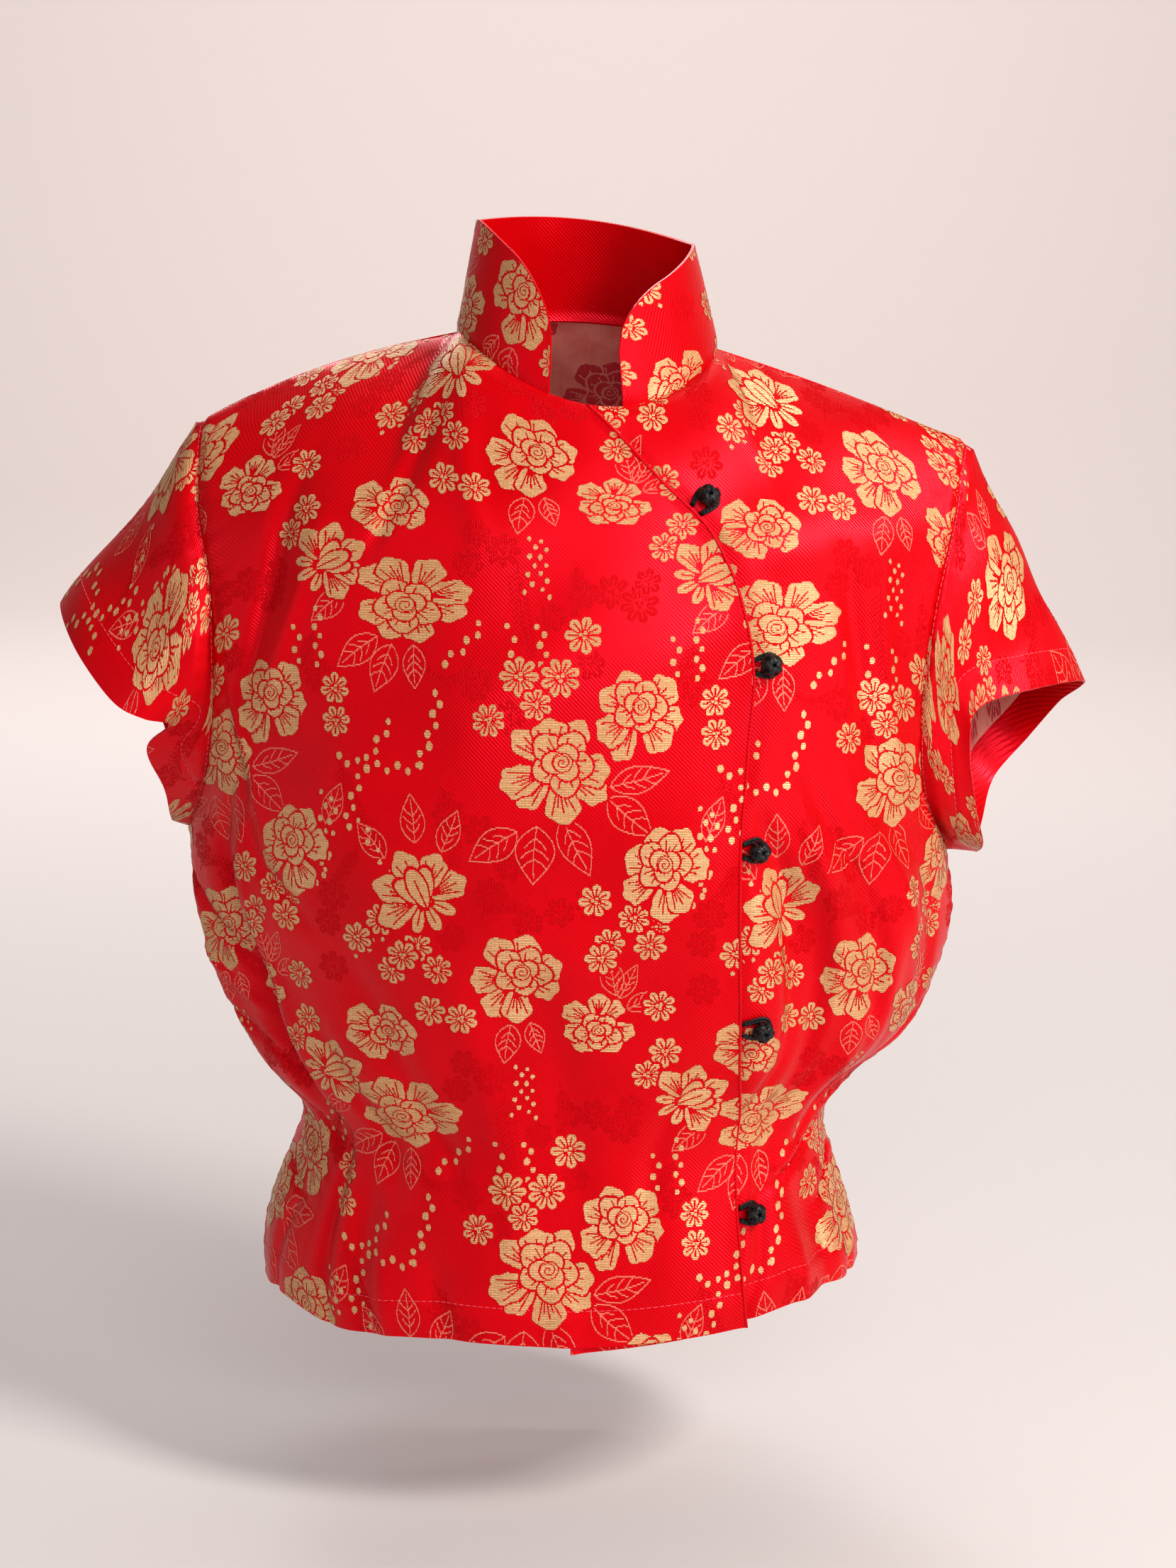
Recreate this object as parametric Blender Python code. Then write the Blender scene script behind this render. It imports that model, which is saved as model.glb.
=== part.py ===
"""Mandarin collar top of red brocade, held open as it is worn, with five knot buttons.

Units are metres, +Z is up, the front faces -Y and -X is the wearer's right.
The origin is the middle of the neck base, level with the inner ends of the shoulder seams.
"""

import math
from collections import namedtuple

import bmesh
import bpy
import numpy as np

# Cloth and sewing
WALL = 0.0012
COLLAR_WALL = 0.0016
SEAM_GAP = 0.0004
LAP_LIFT = 0.0021
LAP_BLEND_START = -0.100
LAP_BLEND_END = -0.030
NECK_BLEND_START = -0.024
NECK_BLEND_END = -0.010

# Heights of the cut, and the neck and shoulder seams
UNDERARM = -0.275
SHOULDER_TIP = -0.050
SHOULDER_HALF_WIDTH = 0.205
SHOULDER_TIP_Y = -0.006
NECK_HALF_WIDTH = 0.070
NECK_SIDE_Y = -0.012
NECK_SIDE_Z = -0.002
NECK_FRONT_Y = -0.078
NECK_FRONT_Z = -0.032
NECK_BACK_Y = 0.052
NECK_BACK_Z = 0.004
NECK_TILT = 0.12
NECK_ANGLE = 40.0
SHOULDER_PITCH = 28.0
SHOULDER_CROWN = 0.004
SHOULDER_TILT = 0.035
TORSO_HALF_WIDTH = 0.200
TORSO_HALF_DEPTH = 0.115
ARMHOLE_EDGE_POWER = 8
GUIDE_HEM = -0.525

# Stand collar
COLLAR_HEIGHT = 0.055
COLLAR_END_LENGTH = 0.034
COLLAR_END_DROP = 0.028
COLLAR_TOP_WIDTH = 0.82
COLLAR_TOP_DEPTH = 0.88
COLLAR_TOP_FORWARD = -0.006
COLLAR_TOP_SIDEWAYS = -0.0025
COLLAR_TOP_TILT = 0.03

# How finely each piece is divided
BODY_ROWS = 14
ARMHOLE_ROWS = 12
SHOULDER_COLUMNS = 8
RIGHT_NECK_COLUMNS = 16
LEFT_NECK_COLUMNS = 9
BACK_NECK_COLUMNS = 12
RIGHT_COLLAR_COLUMNS = 13
LEFT_COLLAR_COLUMNS = 7
SLEEVE_RINGS = 6
COLLAR_RINGS = 4

# Knot buttons and their cord loops
KNOT_RADIUS = 0.0052
KNOT_SEAT = 0.0004
KNOT_RIBS = 3
KNOT_RIB_DEPTH = 0.07
KNOT_RIB_TWIST = 2.0
KNOT_SEGMENTS = 12
KNOT_RINGS = 8
LOOP_CORD = 0.0009
LOOP_SEAT = 0.0006
LOOP_RADIUS = 0.0054
LOOP_END_GAP = 0.0012
LOOP_TURN_POINTS = 9
LOOP_SHOULDER_SPREAD = 0.85
LOOP_FOOT_SPREAD = 0.55

# One row for each level of the torso, hem first. Widths and depths are the cloth's outer face;
# flat and point shape the curve between the side and the middle; fan leads the columns to the neck.
Section = namedtuple(
    "Section",
    "height right_half left_half side_front side_back front back front_z back_z flat point fan",
)
SECTIONS = (
    Section(-0.540, 0.165, 0.158, -0.004, -0.004, -0.113, 0.104, -0.540, -0.540, 2.4, 1.80, 0.00),
    Section(-0.505, 0.168, 0.167, -0.004, -0.004, -0.111, 0.100, -0.505, -0.505, 2.4, 1.80, 0.00),
    Section(-0.475, 0.161, 0.160, -0.004, -0.004, -0.109, 0.094, -0.475, -0.475, 2.4, 1.80, 0.00),
    Section(-0.450, 0.151, 0.151, -0.004, -0.004, -0.107, 0.088, -0.450, -0.450, 2.4, 1.80, 0.00),
    Section(-0.428, 0.147, 0.145, -0.004, -0.004, -0.106, 0.085, -0.428, -0.428, 2.4, 1.70, 0.00),
    Section(-0.407, 0.167, 0.154, -0.004, -0.004, -0.108, 0.087, -0.407, -0.407, 2.5, 1.50, 0.00),
    Section(-0.378, 0.184, 0.187, -0.004, -0.004, -0.111, 0.090, -0.378, -0.378, 2.5, 1.38, 0.00),
    Section(-0.340, 0.197, 0.205, -0.004, -0.004, -0.117, 0.096, -0.340, -0.340, 2.5, 1.38, 0.00),
    Section(-0.305, 0.208, 0.211, -0.004, -0.004, -0.123, 0.101, -0.305, -0.305, 2.5, 1.45, 0.00),
    Section(UNDERARM, 0.211, 0.206, -0.004, -0.004, -0.127, 0.105, -0.275, -0.275, 2.5, 1.55, 0.00),
    Section(-0.240, 0.199, 0.190, -0.040, 0.042, -0.130, 0.108, -0.240, -0.236, 2.4, 1.15, 0.04),
    Section(-0.185, 0.193, 0.184, -0.058, 0.064, -0.125, 0.110, -0.183, -0.172, 2.3, 1.00, 0.14),
    Section(-0.130, 0.196, 0.189, -0.054, 0.064, -0.111, 0.104, -0.124, -0.106, 2.2, 1.00, 0.28),
    Section(-0.090, 0.204, 0.198, -0.036, 0.046, -0.097, 0.090, -0.078, -0.055, 2.1, 1.00, 0.44),
)

# The free edge of the right front, which laps over the left front, from the neck to the hem
EdgePoint = namedtuple("EdgePoint", "z x")
LAP_EDGE = (
    EdgePoint(-0.540, 0.101),
    EdgePoint(-0.490, 0.096),
    EdgePoint(-0.440, 0.092),
    EdgePoint(-0.340, 0.089),
    EdgePoint(-0.250, 0.086),
    EdgePoint(-0.205, 0.088),
    EdgePoint(-0.165, 0.090),
    EdgePoint(-0.135, 0.084),
    EdgePoint(-0.110, 0.075),
    EdgePoint(-0.090, 0.063),
    EdgePoint(-0.070, 0.040),
    EdgePoint(-0.050, 0.020),
    EdgePoint(-0.033, 0.002),
)
UNDERLAP_EDGE = (EdgePoint(-0.540, 0.008), EdgePoint(-0.033, -0.006))
EDGE_ANGLE_LOW = -30.0
EDGE_ANGLE_HIGH = 75.0
EDGE_HALVINGS = 40

# The hem's height at angles round the body: 0 is the middle, 90 the side seam
HemPoint = namedtuple("HemPoint", "angle z")
RIGHT_HEM = (
    HemPoint(-90, -0.533),
    HemPoint(-66, -0.528),
    HemPoint(-48, -0.534),
    HemPoint(-20, -0.529),
    HemPoint(10, -0.528),
    HemPoint(38, -0.522),
)
LEFT_HEM = (HemPoint(2, -0.533), HemPoint(25, -0.526), HemPoint(48, -0.515), HemPoint(90, -0.512))
BACK_HEM = (
    HemPoint(-90, -0.533),
    HemPoint(-45, -0.530),
    HemPoint(0, -0.528),
    HemPoint(45, -0.521),
    HemPoint(90, -0.512),
)

# The largest folds: each is a soft trough (minus) or ridge (plus) along a line on the torso.
# Angles run round the body: 0 front, -90 the wearer's right side, 180 the back.
Fold = namedtuple("Fold", "angle_low z_low angle_high z_high width height")
FOLDS = (
    Fold(-58, -0.420, -64, -0.275, 0.014, -0.009),
    Fold(-76, -0.400, -80, -0.300, 0.014, 0.005),
    Fold(47, -0.405, 33, -0.262, 0.015, -0.009),
    Fold(57, -0.430, 56, -0.290, 0.015, 0.006),
    Fold(-38, -0.535, -42, -0.455, 0.012, -0.004),
    Fold(64, -0.535, 58, -0.455, 0.014, -0.005),
    Fold(150, -0.470, 158, -0.300, 0.020, -0.006),
    Fold(-150, -0.470, -158, -0.300, 0.020, -0.006),
    Fold(120, -0.430, 118, -0.290, 0.016, -0.008),
    Fold(-120, -0.430, -118, -0.290, 0.016, -0.008),
)
FOLD_METRES_PER_DEGREE = 0.0030
FOLD_FADE = 0.25

# Cuff edges, one row for each point round the opening; share 0 is the underarm, 0.5 the top
CuffPoint = namedtuple("CuffPoint", "share x y z")
RIGHT_CUFF = (
    CuffPoint(0.00, -0.221, 0.000, -0.273),
    CuffPoint(0.06, -0.222, -0.024, -0.252),
    CuffPoint(0.12, -0.229, -0.040, -0.224),
    CuffPoint(0.17, -0.216, -0.052, -0.211),
    CuffPoint(0.23, -0.227, -0.064, -0.206),
    CuffPoint(0.31, -0.244, -0.062, -0.198),
    CuffPoint(0.40, -0.266, -0.042, -0.176),
    CuffPoint(0.50, -0.283, 0.002, -0.154),
    CuffPoint(0.60, -0.277, 0.040, -0.166),
    CuffPoint(0.70, -0.260, 0.062, -0.193),
    CuffPoint(0.80, -0.238, 0.060, -0.222),
    CuffPoint(0.90, -0.225, 0.036, -0.252),
)
LEFT_CUFF = (
    CuffPoint(0.00, 0.223, 0.000, -0.277),
    CuffPoint(0.07, 0.223, -0.026, -0.267),
    CuffPoint(0.14, 0.216, -0.042, -0.243),
    CuffPoint(0.22, 0.210, -0.054, -0.214),
    CuffPoint(0.29, 0.209, -0.060, -0.194),
    CuffPoint(0.36, 0.220, -0.056, -0.184),
    CuffPoint(0.43, 0.246, -0.034, -0.180),
    CuffPoint(0.50, 0.277, 0.004, -0.181),
    CuffPoint(0.60, 0.270, 0.038, -0.198),
    CuffPoint(0.70, 0.255, 0.052, -0.222),
    CuffPoint(0.80, 0.236, 0.048, -0.245),
    CuffPoint(0.90, 0.228, 0.026, -0.265),
)
SLEEVE_CROWN = 0.010
RIGHT_SLEEVE_DIP = 0.010
LEFT_SLEEVE_DIP = 0.005

# Each knot's height and its distance past the lapped edge
Knot = namedtuple("Knot", "z past_edge")
KNOTS = (
    Knot(-0.085, 0.0095),
    Knot(-0.162, 0.0085),
    Knot(-0.256, 0.0085),
    Knot(-0.354, 0.0115),
    Knot(-0.462, 0.0085),
)

# Finding a place on the cloth: how far to look along it, and the steps of the search
REACH = 0.001
PLACING_STEPS = 60
ANGLE_PER_METRE = 300.0
HEIGHT_PER_METRE = 0.8
LOOP_PASSES = 4

# Mitres at the seams, and the edges that shade as sharp
MITRE_LIMIT = 0.5
SHARP_EDGE = 50.0

# Material colours, linear, and roughness
RED_SATIN = (0.62, 0.004, 0.008)
SATIN_ROUGHNESS = 0.38
BLACK_CORD = (0.006, 0.006, 0.008)
CORD_ROUGHNESS = 0.55


def clear_scene():
    """Remove whatever the opened file holds."""
    for thing in list(bpy.data.objects):
        bpy.data.objects.remove(thing, do_unlink=True)


def make_material(name, colour, roughness):
    """A plain material for one kind of cloth or cord."""
    material = bpy.data.materials.new(name)
    material.use_nodes = True
    shader = material.node_tree.nodes["Principled BSDF"]
    shader.inputs["Base Color"].default_value = (*colour, 1.0)
    shader.inputs["Roughness"].default_value = roughness
    shader.inputs["Metallic"].default_value = 0.0
    return material


def smooth(low, high, value):
    """Rise smoothly from 0 at low to 1 at high."""
    share = np.clip((value - low) / (high - low), 0.0, 1.0)
    return share * share * (3.0 - 2.0 * share)


def spline(knots, values, at, last_slope=None):
    """Read a smooth curve through values, one row for each knot, at every entry of at."""
    slopes = np.gradient(values, knots, axis=0)
    if last_slope is not None:
        slopes[-1] = last_slope
    index = np.clip(np.searchsorted(knots, at) - 1, 0, len(knots) - 2)
    entry = (index,) if values.ndim < 3 else (index, np.arange(len(at)))
    following = (index + 1,) + entry[1:]
    step = knots[index + 1] - knots[index]
    share = (at - knots[index]) / step
    if values.ndim > 1:
        share = share[:, None]
        step = step[:, None]
    start = (1.0 + 2.0 * share) * (1.0 - share) ** 2 * values[entry]
    leave = share * (1.0 - share) ** 2 * step * slopes[entry]
    finish = share**2 * (3.0 - 2.0 * share) * values[following]
    arrive = share**2 * (share - 1.0) * step * slopes[following]
    return start + leave + finish + arrive


def table_curve(table, at):
    """Read a two-column table of named rows as a smooth curve."""
    rows = np.array(table)
    return spline(rows[:, 0], rows[:, 1], np.asarray(at, dtype=float))


def top_line(half, angle):
    """The shoulder seam and neckline of the front or back half, by angle."""
    size = np.abs(angle)
    side = np.sign(angle)
    turn = np.radians(90.0 * np.clip(size / NECK_ANGLE, 0.0, 1.0))
    middle_y = NECK_FRONT_Y if half == "front" else NECK_BACK_Y
    middle_z = NECK_FRONT_Z if half == "front" else NECK_BACK_Z
    along = np.clip((size - NECK_ANGLE) / (90.0 - NECK_ANGLE), 0.0, 1.0)
    x = NECK_HALF_WIDTH * np.sin(turn) + along * (SHOULDER_HALF_WIDTH - NECK_HALF_WIDTH)
    y = NECK_SIDE_Y + (middle_y - NECK_SIDE_Y) * np.cos(turn) + along * (SHOULDER_TIP_Y - NECK_SIDE_Y)
    z = NECK_SIDE_Z + (middle_z - NECK_SIDE_Z) * np.cos(turn) ** 2
    z = z + along * (SHOULDER_TIP - NECK_SIDE_Z) + SHOULDER_CROWN * np.sin(math.pi * along)
    z = z - SHOULDER_TILT * x * side * (1.0 - along**2)
    if half == "front":
        z = z - NECK_TILT * x * side * np.cos(turn)
    return np.stack([x * side, y, z], axis=-1)


def section_point(section, half, angle):
    """One level of the torso, from side to side, by angle."""
    width = np.where(angle < 0.0, section.right_half, section.left_half)
    plain = np.sin(np.radians(angle))
    led = top_line(half, angle)[..., 0] / SHOULDER_HALF_WIDTH
    share = (1.0 - section.fan) * plain + section.fan * led
    side_y = section.side_front if half == "front" else section.side_back
    middle_y = section.front if half == "front" else section.back
    middle_z = section.front_z if half == "front" else section.back_z
    bulge = np.clip(1.0 - np.abs(share) ** section.flat, 0.0, 1.0) ** (1.0 / section.point)
    y = side_y + (middle_y - side_y) * bulge
    z = section.height + (middle_z - section.height) * (1.0 - share**2)
    return np.stack([share * width, y, z], axis=-1)


def shoulder_roll(angle, straight):
    """How the cloth arrives at the top: rolled over the shoulder, and straight up to the neckline."""
    speed = np.linalg.norm(straight, axis=1)[:, None]
    level = straight * np.array([1.0, 1.0, 0.0])
    level = level / np.linalg.norm(level, axis=1)[:, None]
    pitch = math.radians(SHOULDER_PITCH)
    rolled = speed * (level * math.cos(pitch) + np.array([0.0, 0.0, math.sin(pitch)]))
    turn = np.radians(90.0 * np.clip(np.abs(angle) / NECK_ANGLE, 0.0, 1.0))
    upright = (np.cos(turn) ** 2)[:, None]
    return upright * straight + (1.0 - upright) * rolled


def plain_torso(half, angle, height):
    """The torso without folds. Above the underarm, angles of 90 lie on the armhole edge."""
    levels = [section_point(section, half, angle) for section in SECTIONS]
    levels.append(top_line(half, angle))
    values = np.array(levels)
    knots = np.array([section.height for section in SECTIONS] + [SHOULDER_TIP])
    arm = int(np.argmin(np.abs(knots - UNDERARM)))
    arrival = shoulder_roll(angle, (values[-1] - values[-2]) / (knots[-1] - knots[-2]))
    flowing = spline(knots, values, height, arrival)
    below = spline(knots[: arm + 1], values[: arm + 1], np.minimum(height, UNDERARM))
    above = spline(knots[arm:], values[arm:], np.maximum(height, UNDERARM), arrival)
    parted = np.where((height <= UNDERARM)[:, None], below, above)
    edge = (np.abs(np.sin(np.radians(angle))) ** ARMHOLE_EDGE_POWER)[:, None]
    return (1.0 - edge) * flowing + edge * parted


def outward(points):
    """The level direction that points out of the torso."""
    direction = np.stack(
        [
            points[:, 0] / TORSO_HALF_WIDTH**2,
            points[:, 1] / TORSO_HALF_DEPTH**2,
            np.zeros(len(points)),
        ],
        axis=-1,
    )
    return direction / np.linalg.norm(direction, axis=1)[:, None]


def fold_height(half, angle, height):
    """How far the folds push the cloth out or in."""
    around = angle if half == "front" else np.sign(angle) * 180.0 - angle
    total = np.zeros(len(angle))
    for fold in FOLDS:
        rise = fold.z_high - fold.z_low
        share = np.clip((height - fold.z_low) / rise, -FOLD_FADE, 1.0 + FOLD_FADE)
        line = fold.angle_low + (fold.angle_high - fold.angle_low) * share
        away = (around - line + 180.0) % 360.0 - 180.0
        distance = away * FOLD_METRES_PER_DEGREE / fold.width
        ends = smooth(-FOLD_FADE, FOLD_FADE, share)
        ends = ends * (1.0 - smooth(1.0 - FOLD_FADE, 1.0 + FOLD_FADE, share))
        total += fold.height * np.exp(-(distance**2)) * ends
    return total


def torso(half, angle, height, lift=0.0):
    """Points of the torso's cloth, with folds, at angles and heights of the same shape."""
    shape = np.shape(angle)
    flat_angle = np.ravel(angle)
    flat_height = np.ravel(height)
    points = plain_torso(half, flat_angle, flat_height)
    push = fold_height(half, flat_angle, flat_height) + np.ravel(lift)
    points = points + outward(points) * push[:, None]
    return points.reshape(*shape, 3)


def edge_angle(edge, heights):
    """The angle at which a front edge crosses each level."""
    low = np.full(len(heights), EDGE_ANGLE_LOW)
    high = np.full(len(heights), EDGE_ANGLE_HIGH)
    for _ in range(EDGE_HALVINGS):
        middle = 0.5 * (low + high)
        points = plain_torso("front", middle, heights)
        past = points[:, 0] > table_curve(edge, points[:, 2])
        high = np.where(past, middle, high)
        low = np.where(past, low, middle)
    return 0.5 * (low + high)


def level_rows(hem_heights):
    """Heights of every grid row, for columns with their own hem heights."""
    body = np.linspace(0.0, 1.0, BODY_ROWS + 1)[:-1, None]
    lower = hem_heights + (UNDERARM - hem_heights) * body
    armhole = np.linspace(UNDERARM, SHOULDER_TIP, ARMHOLE_ROWS + 1)[:, None]
    return np.vstack([lower, armhole + 0.0 * hem_heights])


def shoulder_angles(side):
    """Column angles from the side seam to the inner end of the shoulder seam."""
    return side * np.linspace(90.0, NECK_ANGLE, SHOULDER_COLUMNS + 1)


def front_grid(side, edge, hem, neck_columns):
    """Angles and heights of a front, from its side seam to its free edge."""
    outer = shoulder_angles(side)
    guide = level_rows(np.full(1, GUIDE_HEM))[:, 0]
    free = edge_angle(edge, guide)
    inner_share = np.linspace(0.0, 1.0, neck_columns + 1)[1:]
    start = side * NECK_ANGLE
    inner = start + (free[:, None] - start) * inner_share
    angles = np.hstack([np.repeat(outer[None, :], len(guide), axis=0), inner])
    heights = level_rows(table_curve(hem, angles[0]))
    return angles, heights


def right_front_points():
    """The right front, lifted clear of the left front where it laps over it."""
    angles, heights = front_grid(-1.0, LAP_EDGE, RIGHT_HEM, RIGHT_NECK_COLUMNS)
    x = torso("front", angles, heights)[..., 0]
    lift = LAP_LIFT * smooth(LAP_BLEND_START, LAP_BLEND_END, x)
    lift[-1] = LAP_LIFT * smooth(NECK_BLEND_START, NECK_BLEND_END, x[-1])
    return torso("front", angles, heights, lift)


def left_front_points():
    """The left front, which passes under the right front as far as the middle."""
    angles, heights = front_grid(1.0, UNDERLAP_EDGE, LEFT_HEM, LEFT_NECK_COLUMNS)
    return torso("front", angles, heights)


def back_points():
    """The back, from the wearer's right side to the left."""
    outer = shoulder_angles(-1.0)
    inner = np.linspace(-NECK_ANGLE, NECK_ANGLE, BACK_NECK_COLUMNS + 1)[1:-1]
    angles = np.concatenate([outer, inner, -outer[::-1]])
    heights = level_rows(table_curve(BACK_HEM, angles))
    return torso("back", np.repeat(angles[None, :], len(heights), axis=0), heights)


def sleeve_points(front_edge, back_edge, cuff, dip):
    """A cap sleeve from the armhole seam to the cuff edge, ring by ring."""
    armhole = np.vstack([front_edge, back_edge[-2:0:-1]])
    count = len(armhole)
    shares = np.arange(count) / count
    rows = np.array(cuff)
    before = rows[-3:] - np.array([1.0, 0.0, 0.0, 0.0])
    after = rows[:3] + np.array([1.0, 0.0, 0.0, 0.0])
    ring = np.vstack([before, rows, after])
    edge = spline(ring[:, 0], ring[:, 1:], shares)
    middle = armhole.mean(axis=0)
    away = armhole - middle
    away[:, 0] = 0.0
    away = away / np.linalg.norm(away, axis=1)[:, None]
    upper = 0.5 - 0.5 * np.cos(2.0 * math.pi * shares)
    rings = []
    for number in range(SLEEVE_RINGS + 1):
        share = number / SLEEVE_RINGS
        rise = SLEEVE_CROWN * math.sin(math.pi * share) * (1.0 - share) ** 2
        sink = dip * math.sin(math.pi * share) ** 2
        push = (rise * upper - sink * upper**4)[:, None]
        rings.append(armhole + (edge - armhole) * share + away * push)
    return np.array(rings)


def collar_points(right_neck, back_neck, left_neck):
    """The stand collar on the neckline, its front ends rounded."""
    base = np.vstack([right_neck, back_neck[1:], left_neck[1:]])
    steps = np.linalg.norm(np.diff(base, axis=0), axis=1)
    along = np.concatenate([[0.0], np.cumsum(steps)])
    from_end = np.minimum(along, along[-1] - along)
    level = np.clip(1.0 - from_end / COLLAR_END_LENGTH, 0.0, 1.0)
    height = COLLAR_HEIGHT - COLLAR_END_DROP * (1.0 - np.sqrt(1.0 - level**2))
    lean = height / COLLAR_HEIGHT
    top = base.copy()
    top[:, 0] = top[:, 0] * (1.0 - (1.0 - COLLAR_TOP_WIDTH) * lean) + COLLAR_TOP_SIDEWAYS * lean
    top[:, 1] = top[:, 1] * (1.0 - (1.0 - COLLAR_TOP_DEPTH) * lean) + COLLAR_TOP_FORWARD * lean
    top[:, 2] += height - COLLAR_TOP_TILT * base[:, 0] * lean
    return np.array([base + (top - base) * ring / COLLAR_RINGS for ring in range(COLLAR_RINGS + 1)])


def corner_normals(points, facing, closed):
    """Sum of the face normals round each grid point, pointing out of the cloth's right side."""
    grid = np.concatenate([points, points[:, :1]], axis=1) if closed else points
    across = grid[1:, 1:] - grid[:-1, :-1]
    other = grid[1:, :-1] - grid[:-1, 1:]
    faces = facing * np.cross(across, other)
    sums = np.zeros(grid.shape)
    sums[:-1, :-1] += faces
    sums[1:, :-1] += faces
    sums[:-1, 1:] += faces
    sums[1:, 1:] += faces
    if closed:
        sums[:, 0] += sums[:, -1]
        sums = sums[:, :-1]
    return sums


Piece = namedtuple("Piece", "name points facing closed sewn wall material")
TORSO_PIECES = ("right_front", "left_front", "back")


def seam_key(point):
    """A key that two pieces share where they are sewn at one point."""
    return tuple(int(round(value * 1.0e6)) for value in point)


def shared_normals(pieces):
    """Normals of every piece, the same for all pieces that meet at a seam point."""
    sums = [corner_normals(piece.points, piece.facing, piece.closed) for piece in pieces]
    unit = [total / np.linalg.norm(total, axis=2)[..., None] for total in sums]
    meeting = {}
    for piece, normals in zip(pieces, unit):
        for row, column in border(piece):
            key = seam_key(piece.points[row, column])
            sides = meeting.setdefault(key, {True: np.zeros(3), False: np.zeros(3)})
            sides[piece.name in TORSO_PIECES] += normals[row, column]
    shared = []
    for piece, normals in zip(pieces, unit):
        mitred = normals.copy()
        for row, column in border(piece):
            sides = meeting[seam_key(piece.points[row, column])].values()
            mean = np.sum([side / max(np.linalg.norm(side), 1.0e-9) for side in sides], axis=0)
            mean = mean / np.linalg.norm(mean)
            slant = max(MITRE_LIMIT, float(mean @ normals[row, column]))
            mitred[row, column] = mean / slant
        shared.append(mitred)
    return shared


def border(piece):
    """Row and column of each point on the piece's edges."""
    rows, columns = piece.points.shape[:2]
    places = [(row, column) for row in (0, rows - 1) for column in range(columns)]
    if not piece.closed:
        places += [(row, column) for row in range(1, rows - 1) for column in (0, columns - 1)]
    return places


def edge_direction(line, closed):
    """The direction of an edge at each of its points."""
    if closed:
        return np.roll(line, -1, axis=0) - np.roll(line, 1, axis=0)
    return np.gradient(line, axis=0)


def drawn_back(piece, normals):
    """The piece's points with its sewn edges drawn back by half the seam gap."""
    points = piece.points
    moved = points.copy()
    edges = {
        "first_row": (0, slice(None), 1, slice(None)),
        "last_row": (-1, slice(None), -2, slice(None)),
        "first_column": (slice(None), 0, slice(None), 1),
        "last_column": (slice(None), -1, slice(None), -2),
    }
    for name in piece.sewn:
        row, column, next_row, next_column = edges[name]
        line = points[row, column]
        inward = np.cross(normals[row, column], edge_direction(line, piece.closed))
        inside = np.sum(inward * (points[next_row, next_column] - line), axis=1)
        inward = inward * np.sign(inside)[:, None]
        inward = inward / np.linalg.norm(inward, axis=1)[:, None]
        moved[row, column] += 0.5 * SEAM_GAP * inward
    return moved


def link(name, mesh, material):
    """Put a mesh in the scene as a named piece."""
    mesh.materials.append(material)
    thing = bpy.data.objects.new(name, mesh)
    bpy.context.scene.collection.objects.link(thing)
    return thing


def cloth_wall(piece, outer, inner):
    """One closed wall of cloth between its outer and inner faces."""
    build = bmesh.new()
    rows, columns = outer.shape[:2]
    right_side = [[build.verts.new(point) for point in row] for row in outer]
    reverse = [[build.verts.new(point) for point in row] for row in inner]
    spans = columns if piece.closed else columns - 1
    for row in range(rows - 1):
        for column in range(spans):
            following = (column + 1) % columns
            for face in (right_side, reverse):
                build.faces.new(
                    (
                        face[row][column],
                        face[row][following],
                        face[row + 1][following],
                        face[row + 1][column],
                    )
                )
    rims = [
        [(row, column) for column in range(columns)] + ([(row, 0)] if piece.closed else [])
        for row in (0, rows - 1)
    ]
    if not piece.closed:
        rims += [[(row, column) for row in range(rows)] for column in (0, columns - 1)]
    for rim in rims:
        for (row, column), (next_row, next_column) in zip(rim, rim[1:]):
            build.faces.new(
                (
                    right_side[row][column],
                    right_side[next_row][next_column],
                    reverse[next_row][next_column],
                    reverse[row][column],
                )
            )
    bmesh.ops.triangulate(build, faces=build.faces)
    bmesh.ops.recalc_face_normals(build, faces=build.faces)
    mesh = bpy.data.meshes.new(piece.name)
    build.to_mesh(mesh)
    build.free()
    mesh.shade_smooth()
    mesh.set_sharp_from_angle(angle=math.radians(SHARP_EDGE))
    return link(piece.name, mesh, piece.material)


def sew_top(satin):
    """Make the six cloth pieces, each clear of its neighbours at the seams."""
    right_front = right_front_points()
    left_front = left_front_points()
    back = back_points()
    arm = BODY_ROWS
    right_sleeve = sleeve_points(right_front[arm:, 0], back[arm:, 0], RIGHT_CUFF, RIGHT_SLEEVE_DIP)
    left_sleeve = sleeve_points(left_front[arm:, 0], back[arm:, -1], LEFT_CUFF, LEFT_SLEEVE_DIP)
    neck = SHOULDER_COLUMNS
    right_neck = right_front[-1, neck : neck + RIGHT_COLLAR_COLUMNS + 1][::-1]
    left_neck = left_front[-1, neck : neck + LEFT_COLLAR_COLUMNS + 1]
    collar = collar_points(right_neck, back[-1, neck:-neck], left_neck)
    side_and_top = ("first_column", "last_row")
    pieces = (
        Piece("right_front", right_front, 1.0, False, side_and_top, WALL, satin),
        Piece("left_front", left_front, -1.0, False, side_and_top, WALL, satin),
        Piece("back", back, -1.0, False, ("first_column", "last_column", "last_row"), WALL, satin),
        Piece("right_sleeve", right_sleeve, 1.0, True, ("first_row",), WALL, satin),
        Piece("left_sleeve", left_sleeve, -1.0, True, ("first_row",), WALL, satin),
        Piece("collar", collar, -1.0, False, ("first_row",), COLLAR_WALL, satin),
    )
    for piece, normals in zip(pieces, shared_normals(pieces)):
        outer = drawn_back(piece, normals)
        cloth_wall(piece, outer, outer - piece.wall * normals)


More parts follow.
